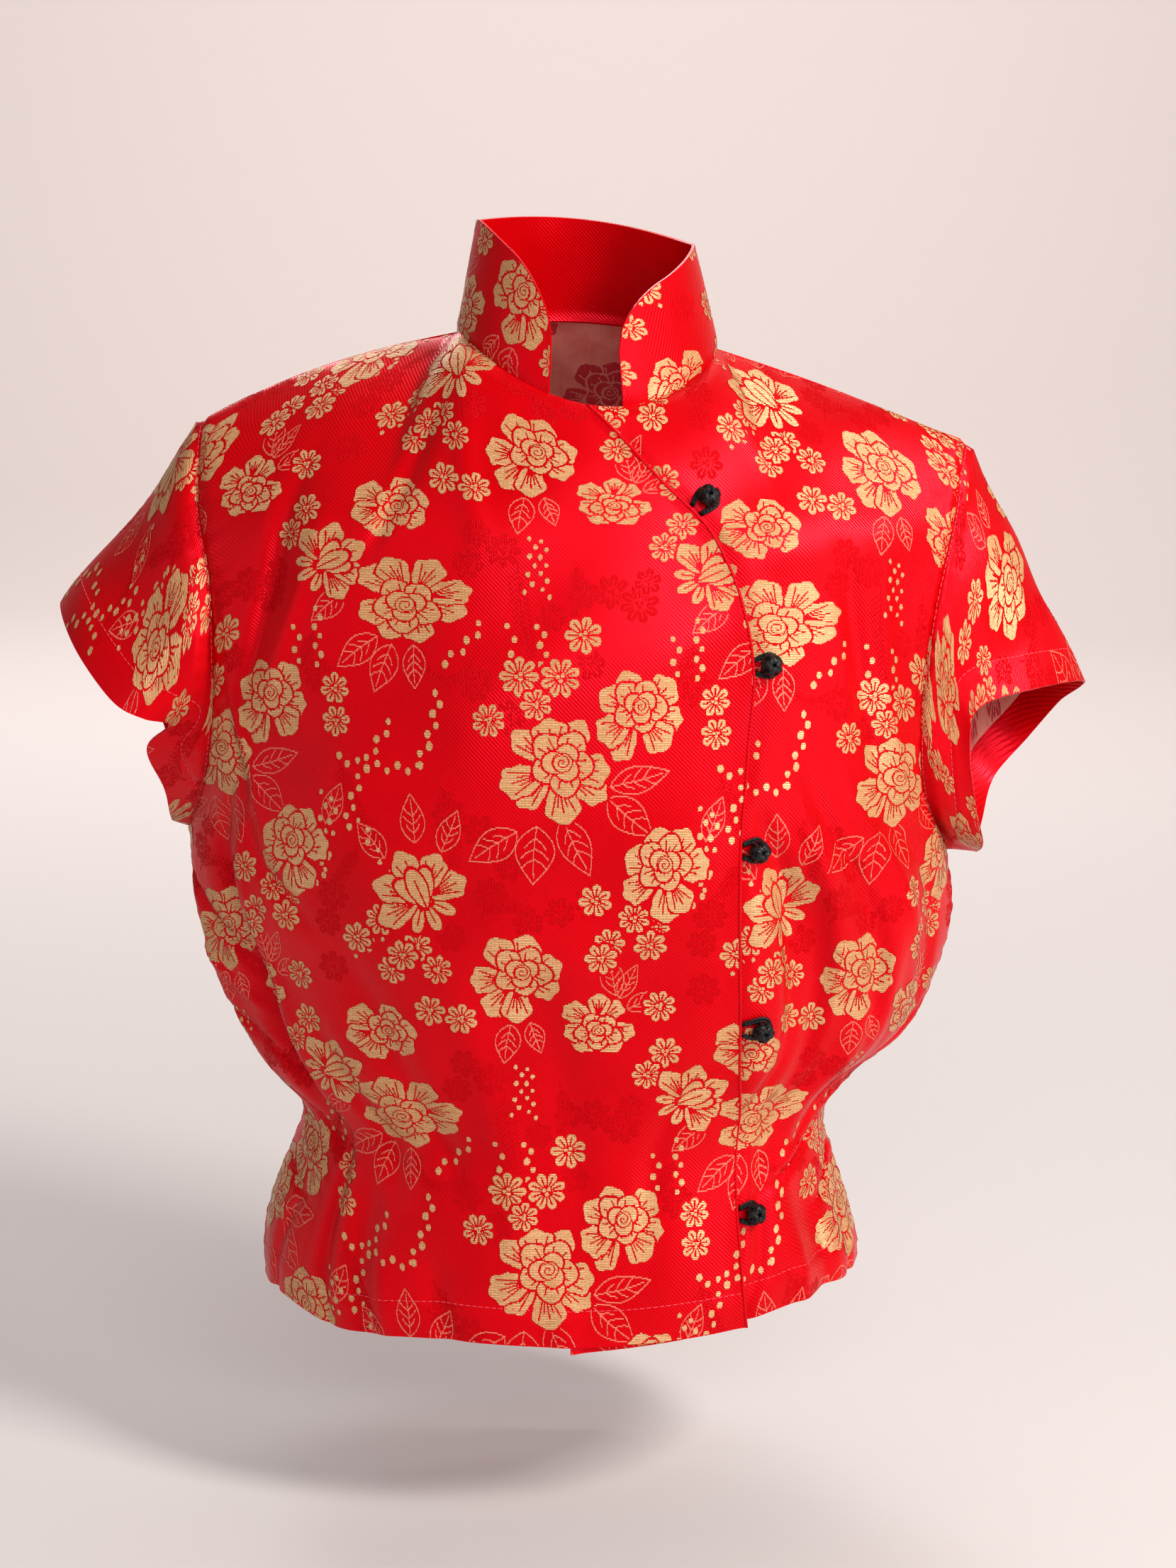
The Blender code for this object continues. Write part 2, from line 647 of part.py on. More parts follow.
def knot_frame(knot):
    """Where a knot stands on the left front: its seat, and the directions out, along and past the edge."""
    edge_x = float(table_curve(LAP_EDGE, [knot.z])[0])
    above_x = float(table_curve(LAP_EDGE, [knot.z + REACH])[0])
    along = np.array([above_x - edge_x, 0.0, REACH])
    along = along / np.linalg.norm(along)
    past = np.array([along[2], 0.0, -along[0]])
    place = np.array([edge_x, 0.0, knot.z]) + past * knot.past_edge
    seat = cloth_point(place[0], place[2])
    up = cloth_point(place[0], place[2] + REACH) - seat
    right = cloth_point(place[0] + REACH, place[2]) - seat
    out = np.cross(right, up)
    out = out / np.linalg.norm(out)
    past = past - out * (past @ out)
    past = past / np.linalg.norm(past)
    return seat, out, np.cross(out, past), past


def cloth_point(x, z):
    """The point of the front's outer face at a given place in the front view."""
    angle = np.array([math.degrees(math.asin(x / TORSO_HALF_WIDTH))])
    height = np.array([z])
    for _ in range(PLACING_STEPS):
        point = torso("front", angle, height)[0]
        angle = angle + ANGLE_PER_METRE * (x - point[0])
        height = height + HEIGHT_PER_METRE * (z - point[2])
    return point


def knot_ball(number, knot, cord):
    """A knot button: a ball of wound cord with its ribs."""
    seat, out, along, past = knot_frame(knot)
    build = bmesh.new()
    bmesh.ops.create_uvsphere(build, u_segments=KNOT_SEGMENTS, v_segments=KNOT_RINGS, radius=KNOT_RADIUS)
    for vertex in build.verts:
        turn = math.atan2(vertex.co.y, vertex.co.x)
        height = vertex.co.z / KNOT_RADIUS
        rib = KNOT_RIB_DEPTH * math.cos(KNOT_RIBS * turn + KNOT_RIB_TWIST * height) * (1.0 - height**2)
        shape = vertex.co * (1.0 + rib)
        lifted = seat + out * (shape.z + KNOT_RADIUS + KNOT_SEAT)
        vertex.co = lifted + along * shape.x + past * shape.y
    bmesh.ops.triangulate(build, faces=build.faces)
    bmesh.ops.recalc_face_normals(build, faces=build.faces)
    mesh = bpy.data.meshes.new(f"knot_{number}")
    build.to_mesh(mesh)
    build.free()
    mesh.shade_smooth()
    link(f"knot_{number}", mesh, cord)


def knot_loop(number, knot, cord):
    """The cord loop that comes from the lapped edge and passes round the knot."""
    seat, out, along, past = knot_frame(knot)
    start = -knot.past_edge + LOOP_END_GAP
    foot = (start, LOOP_RADIUS * LOOP_FOOT_SPREAD)
    shoulder = (0.5 * start, LOOP_RADIUS * LOOP_SHOULDER_SPREAD)
    route = [foot, shoulder]
    for step in range(LOOP_TURN_POINTS + 1):
        turn = math.pi * (0.5 - step / LOOP_TURN_POINTS)
        route.append((LOOP_RADIUS * math.cos(turn), LOOP_RADIUS * math.sin(turn)))
    route += [(shoulder[0], -shoulder[1]), (foot[0], -foot[1])]
    curve = bpy.data.curves.new(f"loop_{number}", "CURVE")
    curve.dimensions = "3D"
    curve.bevel_depth = LOOP_CORD
    curve.bevel_resolution = 2
    curve.use_fill_caps = True
    line = curve.splines.new("POLY")
    line.points.add(len(route) - 1)
    raised = LOOP_SEAT + LOOP_CORD
    for point, (forward, sideways) in zip(line.points, route):
        place = seat + past * forward + along * sideways
        for _ in range(LOOP_PASSES):
            cloth = cloth_point(place[0], place[2])
            place = place + out * ((cloth - place) @ out)
        point.co = (*(place + out * raised), 1.0)
    curve.materials.append(cord)
    thing = bpy.data.objects.new(f"loop_{number}", curve)
    bpy.context.scene.collection.objects.link(thing)


def main():
    clear_scene()
    satin = make_material("red_brocade_satin", RED_SATIN, SATIN_ROUGHNESS)
    cord = make_material("black_knot_cord", BLACK_CORD, CORD_ROUGHNESS)
    sew_top(satin)
    for number, knot in enumerate(KNOTS, start=1):
        knot_ball(number, knot, cord)
        knot_loop(number, knot, cord)


main()
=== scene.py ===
"""The look of a red brocade collar top: satin ground, gold flowers, sewing and black cord knots.

Units are metres, +Z is up, the front faces -Y and -X is the wearer's right.
"""

import math
from collections import namedtuple

import bpy
import numpy as np
from mathutils import Matrix
from mathutils.bvhtree import BVHTree


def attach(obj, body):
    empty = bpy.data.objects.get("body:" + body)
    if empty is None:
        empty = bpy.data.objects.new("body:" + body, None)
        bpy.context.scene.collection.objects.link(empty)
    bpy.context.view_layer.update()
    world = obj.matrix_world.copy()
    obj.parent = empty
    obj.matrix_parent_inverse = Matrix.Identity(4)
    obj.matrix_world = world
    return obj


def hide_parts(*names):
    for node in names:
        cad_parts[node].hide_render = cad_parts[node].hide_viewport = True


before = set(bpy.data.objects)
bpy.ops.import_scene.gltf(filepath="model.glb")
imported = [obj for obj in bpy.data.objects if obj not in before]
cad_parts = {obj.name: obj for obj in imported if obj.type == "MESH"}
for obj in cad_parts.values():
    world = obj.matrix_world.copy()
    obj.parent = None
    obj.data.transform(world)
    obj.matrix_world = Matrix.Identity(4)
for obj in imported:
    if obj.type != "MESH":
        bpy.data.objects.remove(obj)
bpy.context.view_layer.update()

# Cut of the cloth: the same heights, neck and shoulder seams as the solids
LAP_LIFT = 0.0021
LAP_BLEND_START = -0.100
LAP_BLEND_END = -0.030
NECK_BLEND_START = -0.024
NECK_BLEND_END = -0.010
UNDERARM = -0.275
SHOULDER_TIP = -0.050
SHOULDER_HALF_WIDTH = 0.205
SHOULDER_TIP_Y = -0.006
NECK_HALF_WIDTH = 0.070
NECK_SIDE_Y = -0.012
NECK_SIDE_Z = -0.002
NECK_FRONT_Y = -0.078
NECK_FRONT_Z = -0.032
NECK_BACK_Y = 0.052
NECK_BACK_Z = 0.004
NECK_TILT = 0.12
NECK_ANGLE = 40.0
SHOULDER_PITCH = 28.0
SHOULDER_CROWN = 0.004
SHOULDER_TILT = 0.035
TORSO_HALF_WIDTH = 0.200
TORSO_HALF_DEPTH = 0.115
ARMHOLE_EDGE_POWER = 8
GUIDE_HEM = -0.525
COLLAR_HEIGHT = 0.055
COLLAR_END_LENGTH = 0.034
COLLAR_END_DROP = 0.028
COLLAR_TOP_WIDTH = 0.82
COLLAR_TOP_DEPTH = 0.88
COLLAR_TOP_FORWARD = -0.006
COLLAR_TOP_SIDEWAYS = -0.0025
COLLAR_TOP_TILT = 0.03

Section = namedtuple(
    "Section",
    "height right_half left_half side_front side_back front back front_z back_z flat point fan",
)
SECTIONS = (
    Section(-0.540, 0.165, 0.158, -0.004, -0.004, -0.113, 0.104, -0.540, -0.540, 2.4, 1.80, 0.00),
    Section(-0.505, 0.168, 0.167, -0.004, -0.004, -0.111, 0.100, -0.505, -0.505, 2.4, 1.80, 0.00),
    Section(-0.475, 0.161, 0.160, -0.004, -0.004, -0.109, 0.094, -0.475, -0.475, 2.4, 1.80, 0.00),
    Section(-0.450, 0.151, 0.151, -0.004, -0.004, -0.107, 0.088, -0.450, -0.450, 2.4, 1.80, 0.00),
    Section(-0.428, 0.147, 0.145, -0.004, -0.004, -0.106, 0.085, -0.428, -0.428, 2.4, 1.70, 0.00),
    Section(-0.407, 0.167, 0.154, -0.004, -0.004, -0.108, 0.087, -0.407, -0.407, 2.5, 1.50, 0.00),
    Section(-0.378, 0.184, 0.187, -0.004, -0.004, -0.111, 0.090, -0.378, -0.378, 2.5, 1.38, 0.00),
    Section(-0.340, 0.197, 0.205, -0.004, -0.004, -0.117, 0.096, -0.340, -0.340, 2.5, 1.38, 0.00),
    Section(-0.305, 0.208, 0.211, -0.004, -0.004, -0.123, 0.101, -0.305, -0.305, 2.5, 1.45, 0.00),
    Section(UNDERARM, 0.211, 0.206, -0.004, -0.004, -0.127, 0.105, -0.275, -0.275, 2.5, 1.55, 0.00),
    Section(-0.240, 0.199, 0.190, -0.040, 0.042, -0.130, 0.108, -0.240, -0.236, 2.4, 1.15, 0.04),
    Section(-0.185, 0.193, 0.184, -0.058, 0.064, -0.125, 0.110, -0.183, -0.172, 2.3, 1.00, 0.14),
    Section(-0.130, 0.196, 0.189, -0.054, 0.064, -0.111, 0.104, -0.124, -0.106, 2.2, 1.00, 0.28),
    Section(-0.090, 0.204, 0.198, -0.036, 0.046, -0.097, 0.090, -0.078, -0.055, 2.1, 1.00, 0.44),
)

EdgePoint = namedtuple("EdgePoint", "z x")
LAP_EDGE = (
    EdgePoint(-0.540, 0.101),
    EdgePoint(-0.490, 0.096),
    EdgePoint(-0.440, 0.092),
    EdgePoint(-0.340, 0.089),
    EdgePoint(-0.250, 0.086),
    EdgePoint(-0.205, 0.088),
    EdgePoint(-0.165, 0.090),
    EdgePoint(-0.135, 0.084),
    EdgePoint(-0.110, 0.075),
    EdgePoint(-0.090, 0.063),
    EdgePoint(-0.070, 0.040),
    EdgePoint(-0.050, 0.020),
    EdgePoint(-0.033, 0.002),
)
UNDERLAP_EDGE = (EdgePoint(-0.540, 0.008), EdgePoint(-0.033, -0.006))
EDGE_ANGLE_LOW = -30.0
EDGE_ANGLE_HIGH = 75.0
EDGE_HALVINGS = 40

HemPoint = namedtuple("HemPoint", "angle z")
RIGHT_HEM = (
    HemPoint(-90, -0.533),
    HemPoint(-66, -0.528),
    HemPoint(-48, -0.534),
    HemPoint(-20, -0.529),
    HemPoint(10, -0.528),
    HemPoint(38, -0.522),
)
LEFT_HEM = (HemPoint(2, -0.533), HemPoint(25, -0.526), HemPoint(48, -0.515), HemPoint(90, -0.512))
BACK_HEM = (
    HemPoint(-90, -0.533),
    HemPoint(-45, -0.530),
    HemPoint(0, -0.528),
    HemPoint(45, -0.521),
    HemPoint(90, -0.512),
)

# Folds: each is a soft trough (minus) or ridge (plus) along a line on the torso.
# Angles run round the body: 0 front, -90 the wearer's right side, 180 the back.
Fold = namedtuple("Fold", "angle_low z_low angle_high z_high width height")
MAIN_FOLDS = (
    Fold(-58, -0.420, -64, -0.275, 0.014, -0.009),
    Fold(-76, -0.400, -80, -0.300, 0.014, 0.005),
    Fold(47, -0.405, 33, -0.262, 0.015, -0.009),
    Fold(57, -0.430, 56, -0.290, 0.015, 0.006),
    Fold(-38, -0.535, -42, -0.455, 0.012, -0.004),
    Fold(64, -0.535, 58, -0.455, 0.014, -0.005),
    Fold(150, -0.470, 158, -0.300, 0.020, -0.006),
    Fold(-150, -0.470, -158, -0.300, 0.020, -0.006),
    Fold(120, -0.430, 118, -0.290, 0.016, -0.008),
    Fold(-120, -0.430, -118, -0.290, 0.016, -0.008),
)
FINE_FOLDS = (
    Fold(-56, -0.420, -66, -0.250, 0.0050, -0.0040),
    Fold(-51, -0.410, -58, -0.255, 0.0055, 0.0030),
    Fold(-49, -0.535, -53, -0.400, 0.0045, -0.0030),
    Fold(-44, -0.300, -68, -0.215, 0.0060, -0.0040),
    Fold(-50, -0.275, -72, -0.195, 0.0060, 0.0030),
    Fold(-62, -0.345, -84, -0.290, 0.0050, -0.0036),
    Fold(-64, -0.370, -86, -0.330, 0.0055, 0.0026),
    Fold(-60, -0.400, -84, -0.365, 0.0050, -0.0034),
    Fold(-54, -0.440, -80, -0.405, 0.0050, -0.0034),
    Fold(-58, -0.458, -84, -0.430, 0.0045, 0.0024),
    Fold(-60, -0.475, -84, -0.452, 0.0050, -0.0030),
    Fold(-36, -0.450, -46, -0.360, 0.0080, -0.0026),
    Fold(-22, -0.445, -34, -0.330, 0.0100, -0.0026),
    Fold(-8, -0.470, -16, -0.340, 0.0110, 0.0022),
    Fold(4, -0.450, -4, -0.330, 0.0120, -0.0022),
    Fold(16, -0.480, 22, -0.380, 0.0080, -0.0020),
    Fold(-68, -0.185, -58, -0.085, 0.0080, -0.0032),
    Fold(-60, -0.185, -50, -0.095, 0.0080, 0.0020),
    Fold(-40, -0.115, -26, -0.055, 0.0090, -0.0024),
    Fold(-16, -0.110, -24, -0.052, 0.0080, 0.0016),
    Fold(40, -0.420, 32, -0.250, 0.0055, -0.0044),
    Fold(47, -0.400, 40, -0.245, 0.0060, 0.0032),
    Fold(58, -0.390, 44, -0.235, 0.0055, -0.0040),
    Fold(66, -0.370, 52, -0.230, 0.0060, 0.0030),
    Fold(74, -0.360, 64, -0.260, 0.0055, -0.0036),
    Fold(62, -0.420, 84, -0.350, 0.0055, -0.0034),
    Fold(54, -0.440, 80, -0.400, 0.0050, 0.0026),
    Fold(46, -0.452, 72, -0.425, 0.0050, -0.0034),
    Fold(64, -0.465, 86, -0.440, 0.0050, -0.0030),
    Fold(38, -0.510, 46, -0.440, 0.0060, -0.0028),
    Fold(62, -0.235, 54, -0.115, 0.0090, -0.0032),
    Fold(70, -0.235, 64, -0.125, 0.0080, 0.0022),
    Fold(76, -0.535, 74, -0.475, 0.0060, -0.0028),
    Fold(54, -0.535, 52, -0.480, 0.0070, 0.0020),
    Fold(-20, -0.535, -24, -0.490, 0.0080, -0.0020),
    Fold(-34, -0.535, -36, -0.490, 0.0070, 0.0018),
    Fold(-72, -0.535, -66, -0.475, 0.0070, -0.0030),
    Fold(2, -0.535, 0, -0.495, 0.0080, 0.0016),
    Fold(112, -0.445, 94, -0.405, 0.0055, -0.0034),
    Fold(-112, -0.445, -94, -0.405, 0.0055, -0.0034),
    Fold(116, -0.465, 96, -0.435, 0.0050, 0.0026),
    Fold(-116, -0.465, -96, -0.435, 0.0050, 0.0026),
    Fold(135, -0.430, 150, -0.350, 0.0070, -0.0034),
    Fold(-135, -0.430, -150, -0.350, 0.0070, -0.0034),
    Fold(104, -0.340, 124, -0.230, 0.0060, -0.0036),
    Fold(-104, -0.340, -124, -0.230, 0.0060, -0.0036),
    Fold(98, -0.310, 116, -0.215, 0.0060, 0.0026),
    Fold(-98, -0.310, -116, -0.215, 0.0060, 0.0026),
    Fold(176, -0.440, 170, -0.330, 0.0110, -0.0026),
    Fold(-168, -0.420, -176, -0.300, 0.0100, 0.0020),
    Fold(110, -0.535, 112, -0.465, 0.0080, -0.0030),
    Fold(-110, -0.535, -112, -0.465, 0.0080, -0.0030),
    Fold(142, -0.535, 144, -0.480, 0.0090, 0.0020),
    Fold(-142, -0.535, -144, -0.480, 0.0090, 0.0020),
    Fold(125, -0.200, 137, -0.100, 0.0090, -0.0030),
    Fold(-125, -0.200, -137, -0.100, 0.0090, -0.0030),
)
FOLD_METRES_PER_DEGREE = 0.0030
FOLD_FADE = 0.25
SIDE_FADE_START = 78.0
TOP_FADE = 0.03

# Slow unevenness of cloth that hangs by its own weight
Ripple = namedtuple("Ripple", "along_x along_y along_z shift height")
RIPPLES = (
    Ripple(38.0, 21.0, 17.0, 0.4, 0.00075),
    Ripple(-27.0, 34.0, 52.0, 2.1, 0.00065),
    Ripple(71.0, -44.0, 23.0, 4.0, 0.00045),
    Ripple(19.0, 63.0, -88.0, 1.2, 0.00038),
    Ripple(-96.0, 12.0, 61.0, 5.3, 0.00028),
)

CuffPoint = namedtuple("CuffPoint", "share x y z")
RIGHT_CUFF = (
    CuffPoint(0.00, -0.221, 0.000, -0.273),
    CuffPoint(0.06, -0.222, -0.024, -0.252),
    CuffPoint(0.12, -0.229, -0.040, -0.224),
    CuffPoint(0.17, -0.216, -0.052, -0.211),
    CuffPoint(0.23, -0.227, -0.064, -0.206),
    CuffPoint(0.31, -0.244, -0.062, -0.198),
    CuffPoint(0.40, -0.266, -0.042, -0.176),
    CuffPoint(0.50, -0.283, 0.002, -0.154),
    CuffPoint(0.60, -0.277, 0.040, -0.166),
    CuffPoint(0.70, -0.260, 0.062, -0.193),
    CuffPoint(0.80, -0.238, 0.060, -0.222),
    CuffPoint(0.90, -0.225, 0.036, -0.252),
)
LEFT_CUFF = (
    CuffPoint(0.00, 0.223, 0.000, -0.277),
    CuffPoint(0.07, 0.223, -0.026, -0.267),
    CuffPoint(0.14, 0.216, -0.042, -0.243),
    CuffPoint(0.22, 0.210, -0.054, -0.214),
    CuffPoint(0.29, 0.209, -0.060, -0.194),
    CuffPoint(0.36, 0.220, -0.056, -0.184),
    CuffPoint(0.43, 0.246, -0.034, -0.180),
    CuffPoint(0.50, 0.277, 0.004, -0.181),
    CuffPoint(0.60, 0.270, 0.038, -0.198),
    CuffPoint(0.70, 0.255, 0.052, -0.222),
    CuffPoint(0.80, 0.236, 0.048, -0.245),
    CuffPoint(0.90, 0.228, 0.026, -0.265),
)
SLEEVE_CROWN = 0.010
RIGHT_SLEEVE_DIP = 0.010
LEFT_SLEEVE_DIP = 0.005

Knot = namedtuple("Knot", "z past_edge")
KNOTS = (
    Knot(-0.085, 0.0095),
    Knot(-0.162, 0.0085),
    Knot(-0.256, 0.0085),
    Knot(-0.354, 0.0115),
    Knot(-0.462, 0.0085),
)
KNOT_RADIUS = 0.0052
KNOT_SEAT = 0.0004
REACH = 0.001
PLACING_STEPS = 60
ANGLE_PER_METRE = 300.0
HEIGHT_PER_METRE = 0.8

# How finely the visible cloth is divided
BODY_ROWS = 84
ARMHOLE_ROWS = 74
SHOULDER_COLUMNS = 40
RIGHT_NECK_COLUMNS = 60
LEFT_NECK_COLUMNS = 44
BACK_NECK_COLUMNS = 64
RIGHT_COLLAR_SHARE = 0.8125
LEFT_COLLAR_SHARE = 0.7778
SLEEVE_RINGS = 26
COLLAR_RINGS = 18

# Sewing
CLOTH_WALL = 0.0006
HEM_WALL = 0.0013
COLLAR_WALL = 0.0016
HEM_DEPTH = 0.020
SEAM_DEPTH = 0.0019
SEAM_WIDTH = 0.0020
PUCKER_HEIGHT = 0.00060
PUCKER_PITCH = 0.0095
PUCKER_REACH = 0.011
SEAM_CALM = 0.012
UNDERARM_CALM = 0.015
COLLAR_CALM = 0.01
SLEEVE_RIPPLE = 1.6
COLLAR_RIPPLE = 0.5
HEM_ROWS = 7
HEM_LARGEST_SHARE = 0.7
HEM_PROUD = 0.0004
HEM_DRAWN = 0.0004
HEM_STEP = 0.003
HEM_DRAWN_WIDTH = 0.0015
LAP_PRESS = 0.0022
LAP_PRESS_WIDTH = 0.0050
LAP_PRESS_TOP = 0.02
LAP_TURN_START = 0.010
LAP_TURN_END = 0.012
EDGE_BEAD = 0.0009
EDGE_ROLL = 0.0012
EDGE_ROLL_WIDTH = 0.0036
STITCH_LENGTH = 0.0026
STITCH_PITCH = 0.0036
STITCH_RADIUS = 0.00022
SEAM_STITCH_DEPTH = 0.0016
SHARP_ANGLE = 60.0

# Brocade: the woven pattern repeats in millimetres across and down the cloth
REPEAT_ACROSS = 200.0
REPEAT_DOWN = 284.0
FLOAT_LIFT = 0.00022
TONE_LIFT = 0.00010
LINE_LIFT = 0.00016
FLOAT_PIECE = 4.0
EDGE_PIECE = 0.8
MILLIMETRE = 0.001


def smooth(low, high, value):
    """Rise smoothly from 0 at low to 1 at high."""
    share = np.clip((value - low) / (high - low), 0.0, 1.0)
    return share * share * (3.0 - 2.0 * share)


def spline(knots, values, at, last_slope=None):
    """Read a smooth curve through values, one row for each knot, at every entry of at."""
    slopes = np.gradient(values, knots, axis=0)
    if last_slope is not None:
        slopes[-1] = last_slope
    index = np.clip(np.searchsorted(knots, at) - 1, 0, len(knots) - 2)
    entry = (index,) if values.ndim < 3 else (index, np.arange(len(at)))
    following = (index + 1,) + entry[1:]
    step = knots[index + 1] - knots[index]
    share = (at - knots[index]) / step
    if values.ndim > 1:
        share = share[:, None]
        step = step[:, None]
    start = (1.0 + 2.0 * share) * (1.0 - share) ** 2 * values[entry]
    leave = share * (1.0 - share) ** 2 * step * slopes[entry]
    finish = share**2 * (3.0 - 2.0 * share) * values[following]
    arrive = share**2 * (share - 1.0) * step * slopes[following]
    return start + leave + finish + arrive


def table_curve(table, at):
    """Read a two-column table of named rows as a smooth curve."""
    rows = np.array(table)
    return spline(rows[:, 0], rows[:, 1], np.asarray(at, dtype=float))


def top_line(half, angle):
    """The shoulder seam and neckline of the front or back half, by angle."""
    size = np.abs(angle)
    side = np.sign(angle)
    turn = np.radians(90.0 * np.clip(size / NECK_ANGLE, 0.0, 1.0))
    middle_y = NECK_FRONT_Y if half == "front" else NECK_BACK_Y
    middle_z = NECK_FRONT_Z if half == "front" else NECK_BACK_Z
    along = np.clip((size - NECK_ANGLE) / (90.0 - NECK_ANGLE), 0.0, 1.0)
    x = NECK_HALF_WIDTH * np.sin(turn) + along * (SHOULDER_HALF_WIDTH - NECK_HALF_WIDTH)
    y = NECK_SIDE_Y + (middle_y - NECK_SIDE_Y) * np.cos(turn) + along * (SHOULDER_TIP_Y - NECK_SIDE_Y)
    z = NECK_SIDE_Z + (middle_z - NECK_SIDE_Z) * np.cos(turn) ** 2
    z = z + along * (SHOULDER_TIP - NECK_SIDE_Z) + SHOULDER_CROWN * np.sin(math.pi * along)
    z = z - SHOULDER_TILT * x * side * (1.0 - along**2)
    if half == "front":
        z = z - NECK_TILT * x * side * np.cos(turn)
    return np.stack([x * side, y, z], axis=-1)


def section_point(section, half, angle):
    """One level of the torso, from side to side, by angle."""
    width = np.where(angle < 0.0, section.right_half, section.left_half)
    plain = np.sin(np.radians(angle))
    led = top_line(half, angle)[..., 0] / SHOULDER_HALF_WIDTH
    share = (1.0 - section.fan) * plain + section.fan * led
    side_y = section.side_front if half == "front" else section.side_back
    middle_y = section.front if half == "front" else section.back
    middle_z = section.front_z if half == "front" else section.back_z
    bulge = np.clip(1.0 - np.abs(share) ** section.flat, 0.0, 1.0) ** (1.0 / section.point)
    y = side_y + (middle_y - side_y) * bulge
    z = section.height + (middle_z - section.height) * (1.0 - share**2)
    return np.stack([share * width, y, z], axis=-1)


def shoulder_roll(angle, straight):
    """How the cloth arrives at the top: rolled over the shoulder, and straight up to the neckline."""
    speed = np.linalg.norm(straight, axis=1)[:, None]
    level = straight * np.array([1.0, 1.0, 0.0])
    level = level / np.linalg.norm(level, axis=1)[:, None]
    pitch = math.radians(SHOULDER_PITCH)
    rolled = speed * (level * math.cos(pitch) + np.array([0.0, 0.0, math.sin(pitch)]))
    turn = np.radians(90.0 * np.clip(np.abs(angle) / NECK_ANGLE, 0.0, 1.0))
    upright = (np.cos(turn) ** 2)[:, None]
    return upright * straight + (1.0 - upright) * rolled


def plain_torso(half, angle, height):
    """The torso without folds. Above the underarm, angles of 90 lie on the armhole edge."""
    levels = [section_point(section, half, angle) for section in SECTIONS]
    levels.append(top_line(half, angle))
    values = np.array(levels)
    knots = np.array([section.height for section in SECTIONS] + [SHOULDER_TIP])
    arm = int(np.argmin(np.abs(knots - UNDERARM)))
    arrival = shoulder_roll(angle, (values[-1] - values[-2]) / (knots[-1] - knots[-2]))
    flowing = spline(knots, values, height, arrival)
    below = spline(knots[: arm + 1], values[: arm + 1], np.minimum(height, UNDERARM))
    above = spline(knots[arm:], values[arm:], np.maximum(height, UNDERARM), arrival)
    parted = np.where((height <= UNDERARM)[:, None], below, above)
    edge = (np.abs(np.sin(np.radians(angle))) ** ARMHOLE_EDGE_POWER)[:, None]
    return (1.0 - edge) * flowing + edge * parted


def outward(points):
    """The level direction that points out of the torso."""
    direction = np.stack(
        [
            points[:, 0] / TORSO_HALF_WIDTH**2,
            points[:, 1] / TORSO_HALF_DEPTH**2,
            np.zeros(len(points)),
        ],
        axis=-1,
    )
    return direction / np.linalg.norm(direction, axis=1)[:, None]


def fold_height(folds, half, angle, height):
    """How far the folds push the cloth out or in."""
    around = angle if half == "front" else np.sign(angle) * 180.0 - angle
    total = np.zeros(len(angle))
    for fold in folds:
        rise = fold.z_high - fold.z_low
        share = np.clip((height - fold.z_low) / rise, -FOLD_FADE, 1.0 + FOLD_FADE)
        line = fold.angle_low + (fold.angle_high - fold.angle_low) * share
        away = (around - line + 180.0) % 360.0 - 180.0
        distance = away * FOLD_METRES_PER_DEGREE / fold.width
        ends = smooth(-FOLD_FADE, FOLD_FADE, share)
        ends = ends * (1.0 - smooth(1.0 - FOLD_FADE, 1.0 + FOLD_FADE, share))
        total += fold.height * np.exp(-(distance**2)) * ends
    return total


def torso(half, angle, height, lift=0.0):
    """Points of the torso's cloth, with its main folds, at angles and heights of the same shape."""
    shape = np.shape(angle)
    flat_angle = np.ravel(angle)
    flat_height = np.ravel(height)
    points = plain_torso(half, flat_angle, flat_height)
    push = fold_height(MAIN_FOLDS, half, flat_angle, flat_height) + np.ravel(lift)
    points = points + outward(points) * push[:, None]
    return points.reshape(*shape, 3)


def wrinkles(half, angle, height):
    """The fine folds, fading out at the side seams, the armholes and the top."""
    flat_angle = np.ravel(angle)
    flat_height = np.ravel(height)
    push = fold_height(FINE_FOLDS, half, flat_angle, flat_height)
    push = push * (1.0 - smooth(SIDE_FADE_START, 90.0, np.abs(flat_angle)))
    push = push * (1.0 - smooth(SHOULDER_TIP - TOP_FADE, SHOULDER_TIP, flat_height))
    return push.reshape(np.shape(angle))


def ripple(points):
    """The slow unevenness of the cloth at each point."""
    total = np.zeros(points.shape[:-1])
    for wave in RIPPLES:
        phase = points @ np.array([wave.along_x, wave.along_y, wave.along_z]) + wave.shift
        total += wave.height * np.sin(phase)
    return total


def edge_angle(edge, heights):
    """The angle at which a front edge crosses each level."""
    low = np.full(len(heights), EDGE_ANGLE_LOW)
    high = np.full(len(heights), EDGE_ANGLE_HIGH)
    for _ in range(EDGE_HALVINGS):
        middle = 0.5 * (low + high)
        points = plain_torso("front", middle, heights)
        past = points[:, 0] > table_curve(edge, points[:, 2])
        high = np.where(past, middle, high)
        low = np.where(past, low, middle)
    return 0.5 * (low + high)


def level_rows(hem_heights):
    """Heights of every grid row, for columns with their own hem heights."""
    body = np.linspace(0.0, 1.0, BODY_ROWS + 1)[:-1, None]
    lower = hem_heights + (UNDERARM - hem_heights) * body
    armhole = np.linspace(UNDERARM, SHOULDER_TIP, ARMHOLE_ROWS + 1)[:, None]
    return np.vstack([lower, armhole + 0.0 * hem_heights])


def shoulder_angles(side):
    """Column angles from the side seam to the inner end of the shoulder seam."""
    return side * np.linspace(90.0, NECK_ANGLE, SHOULDER_COLUMNS + 1)


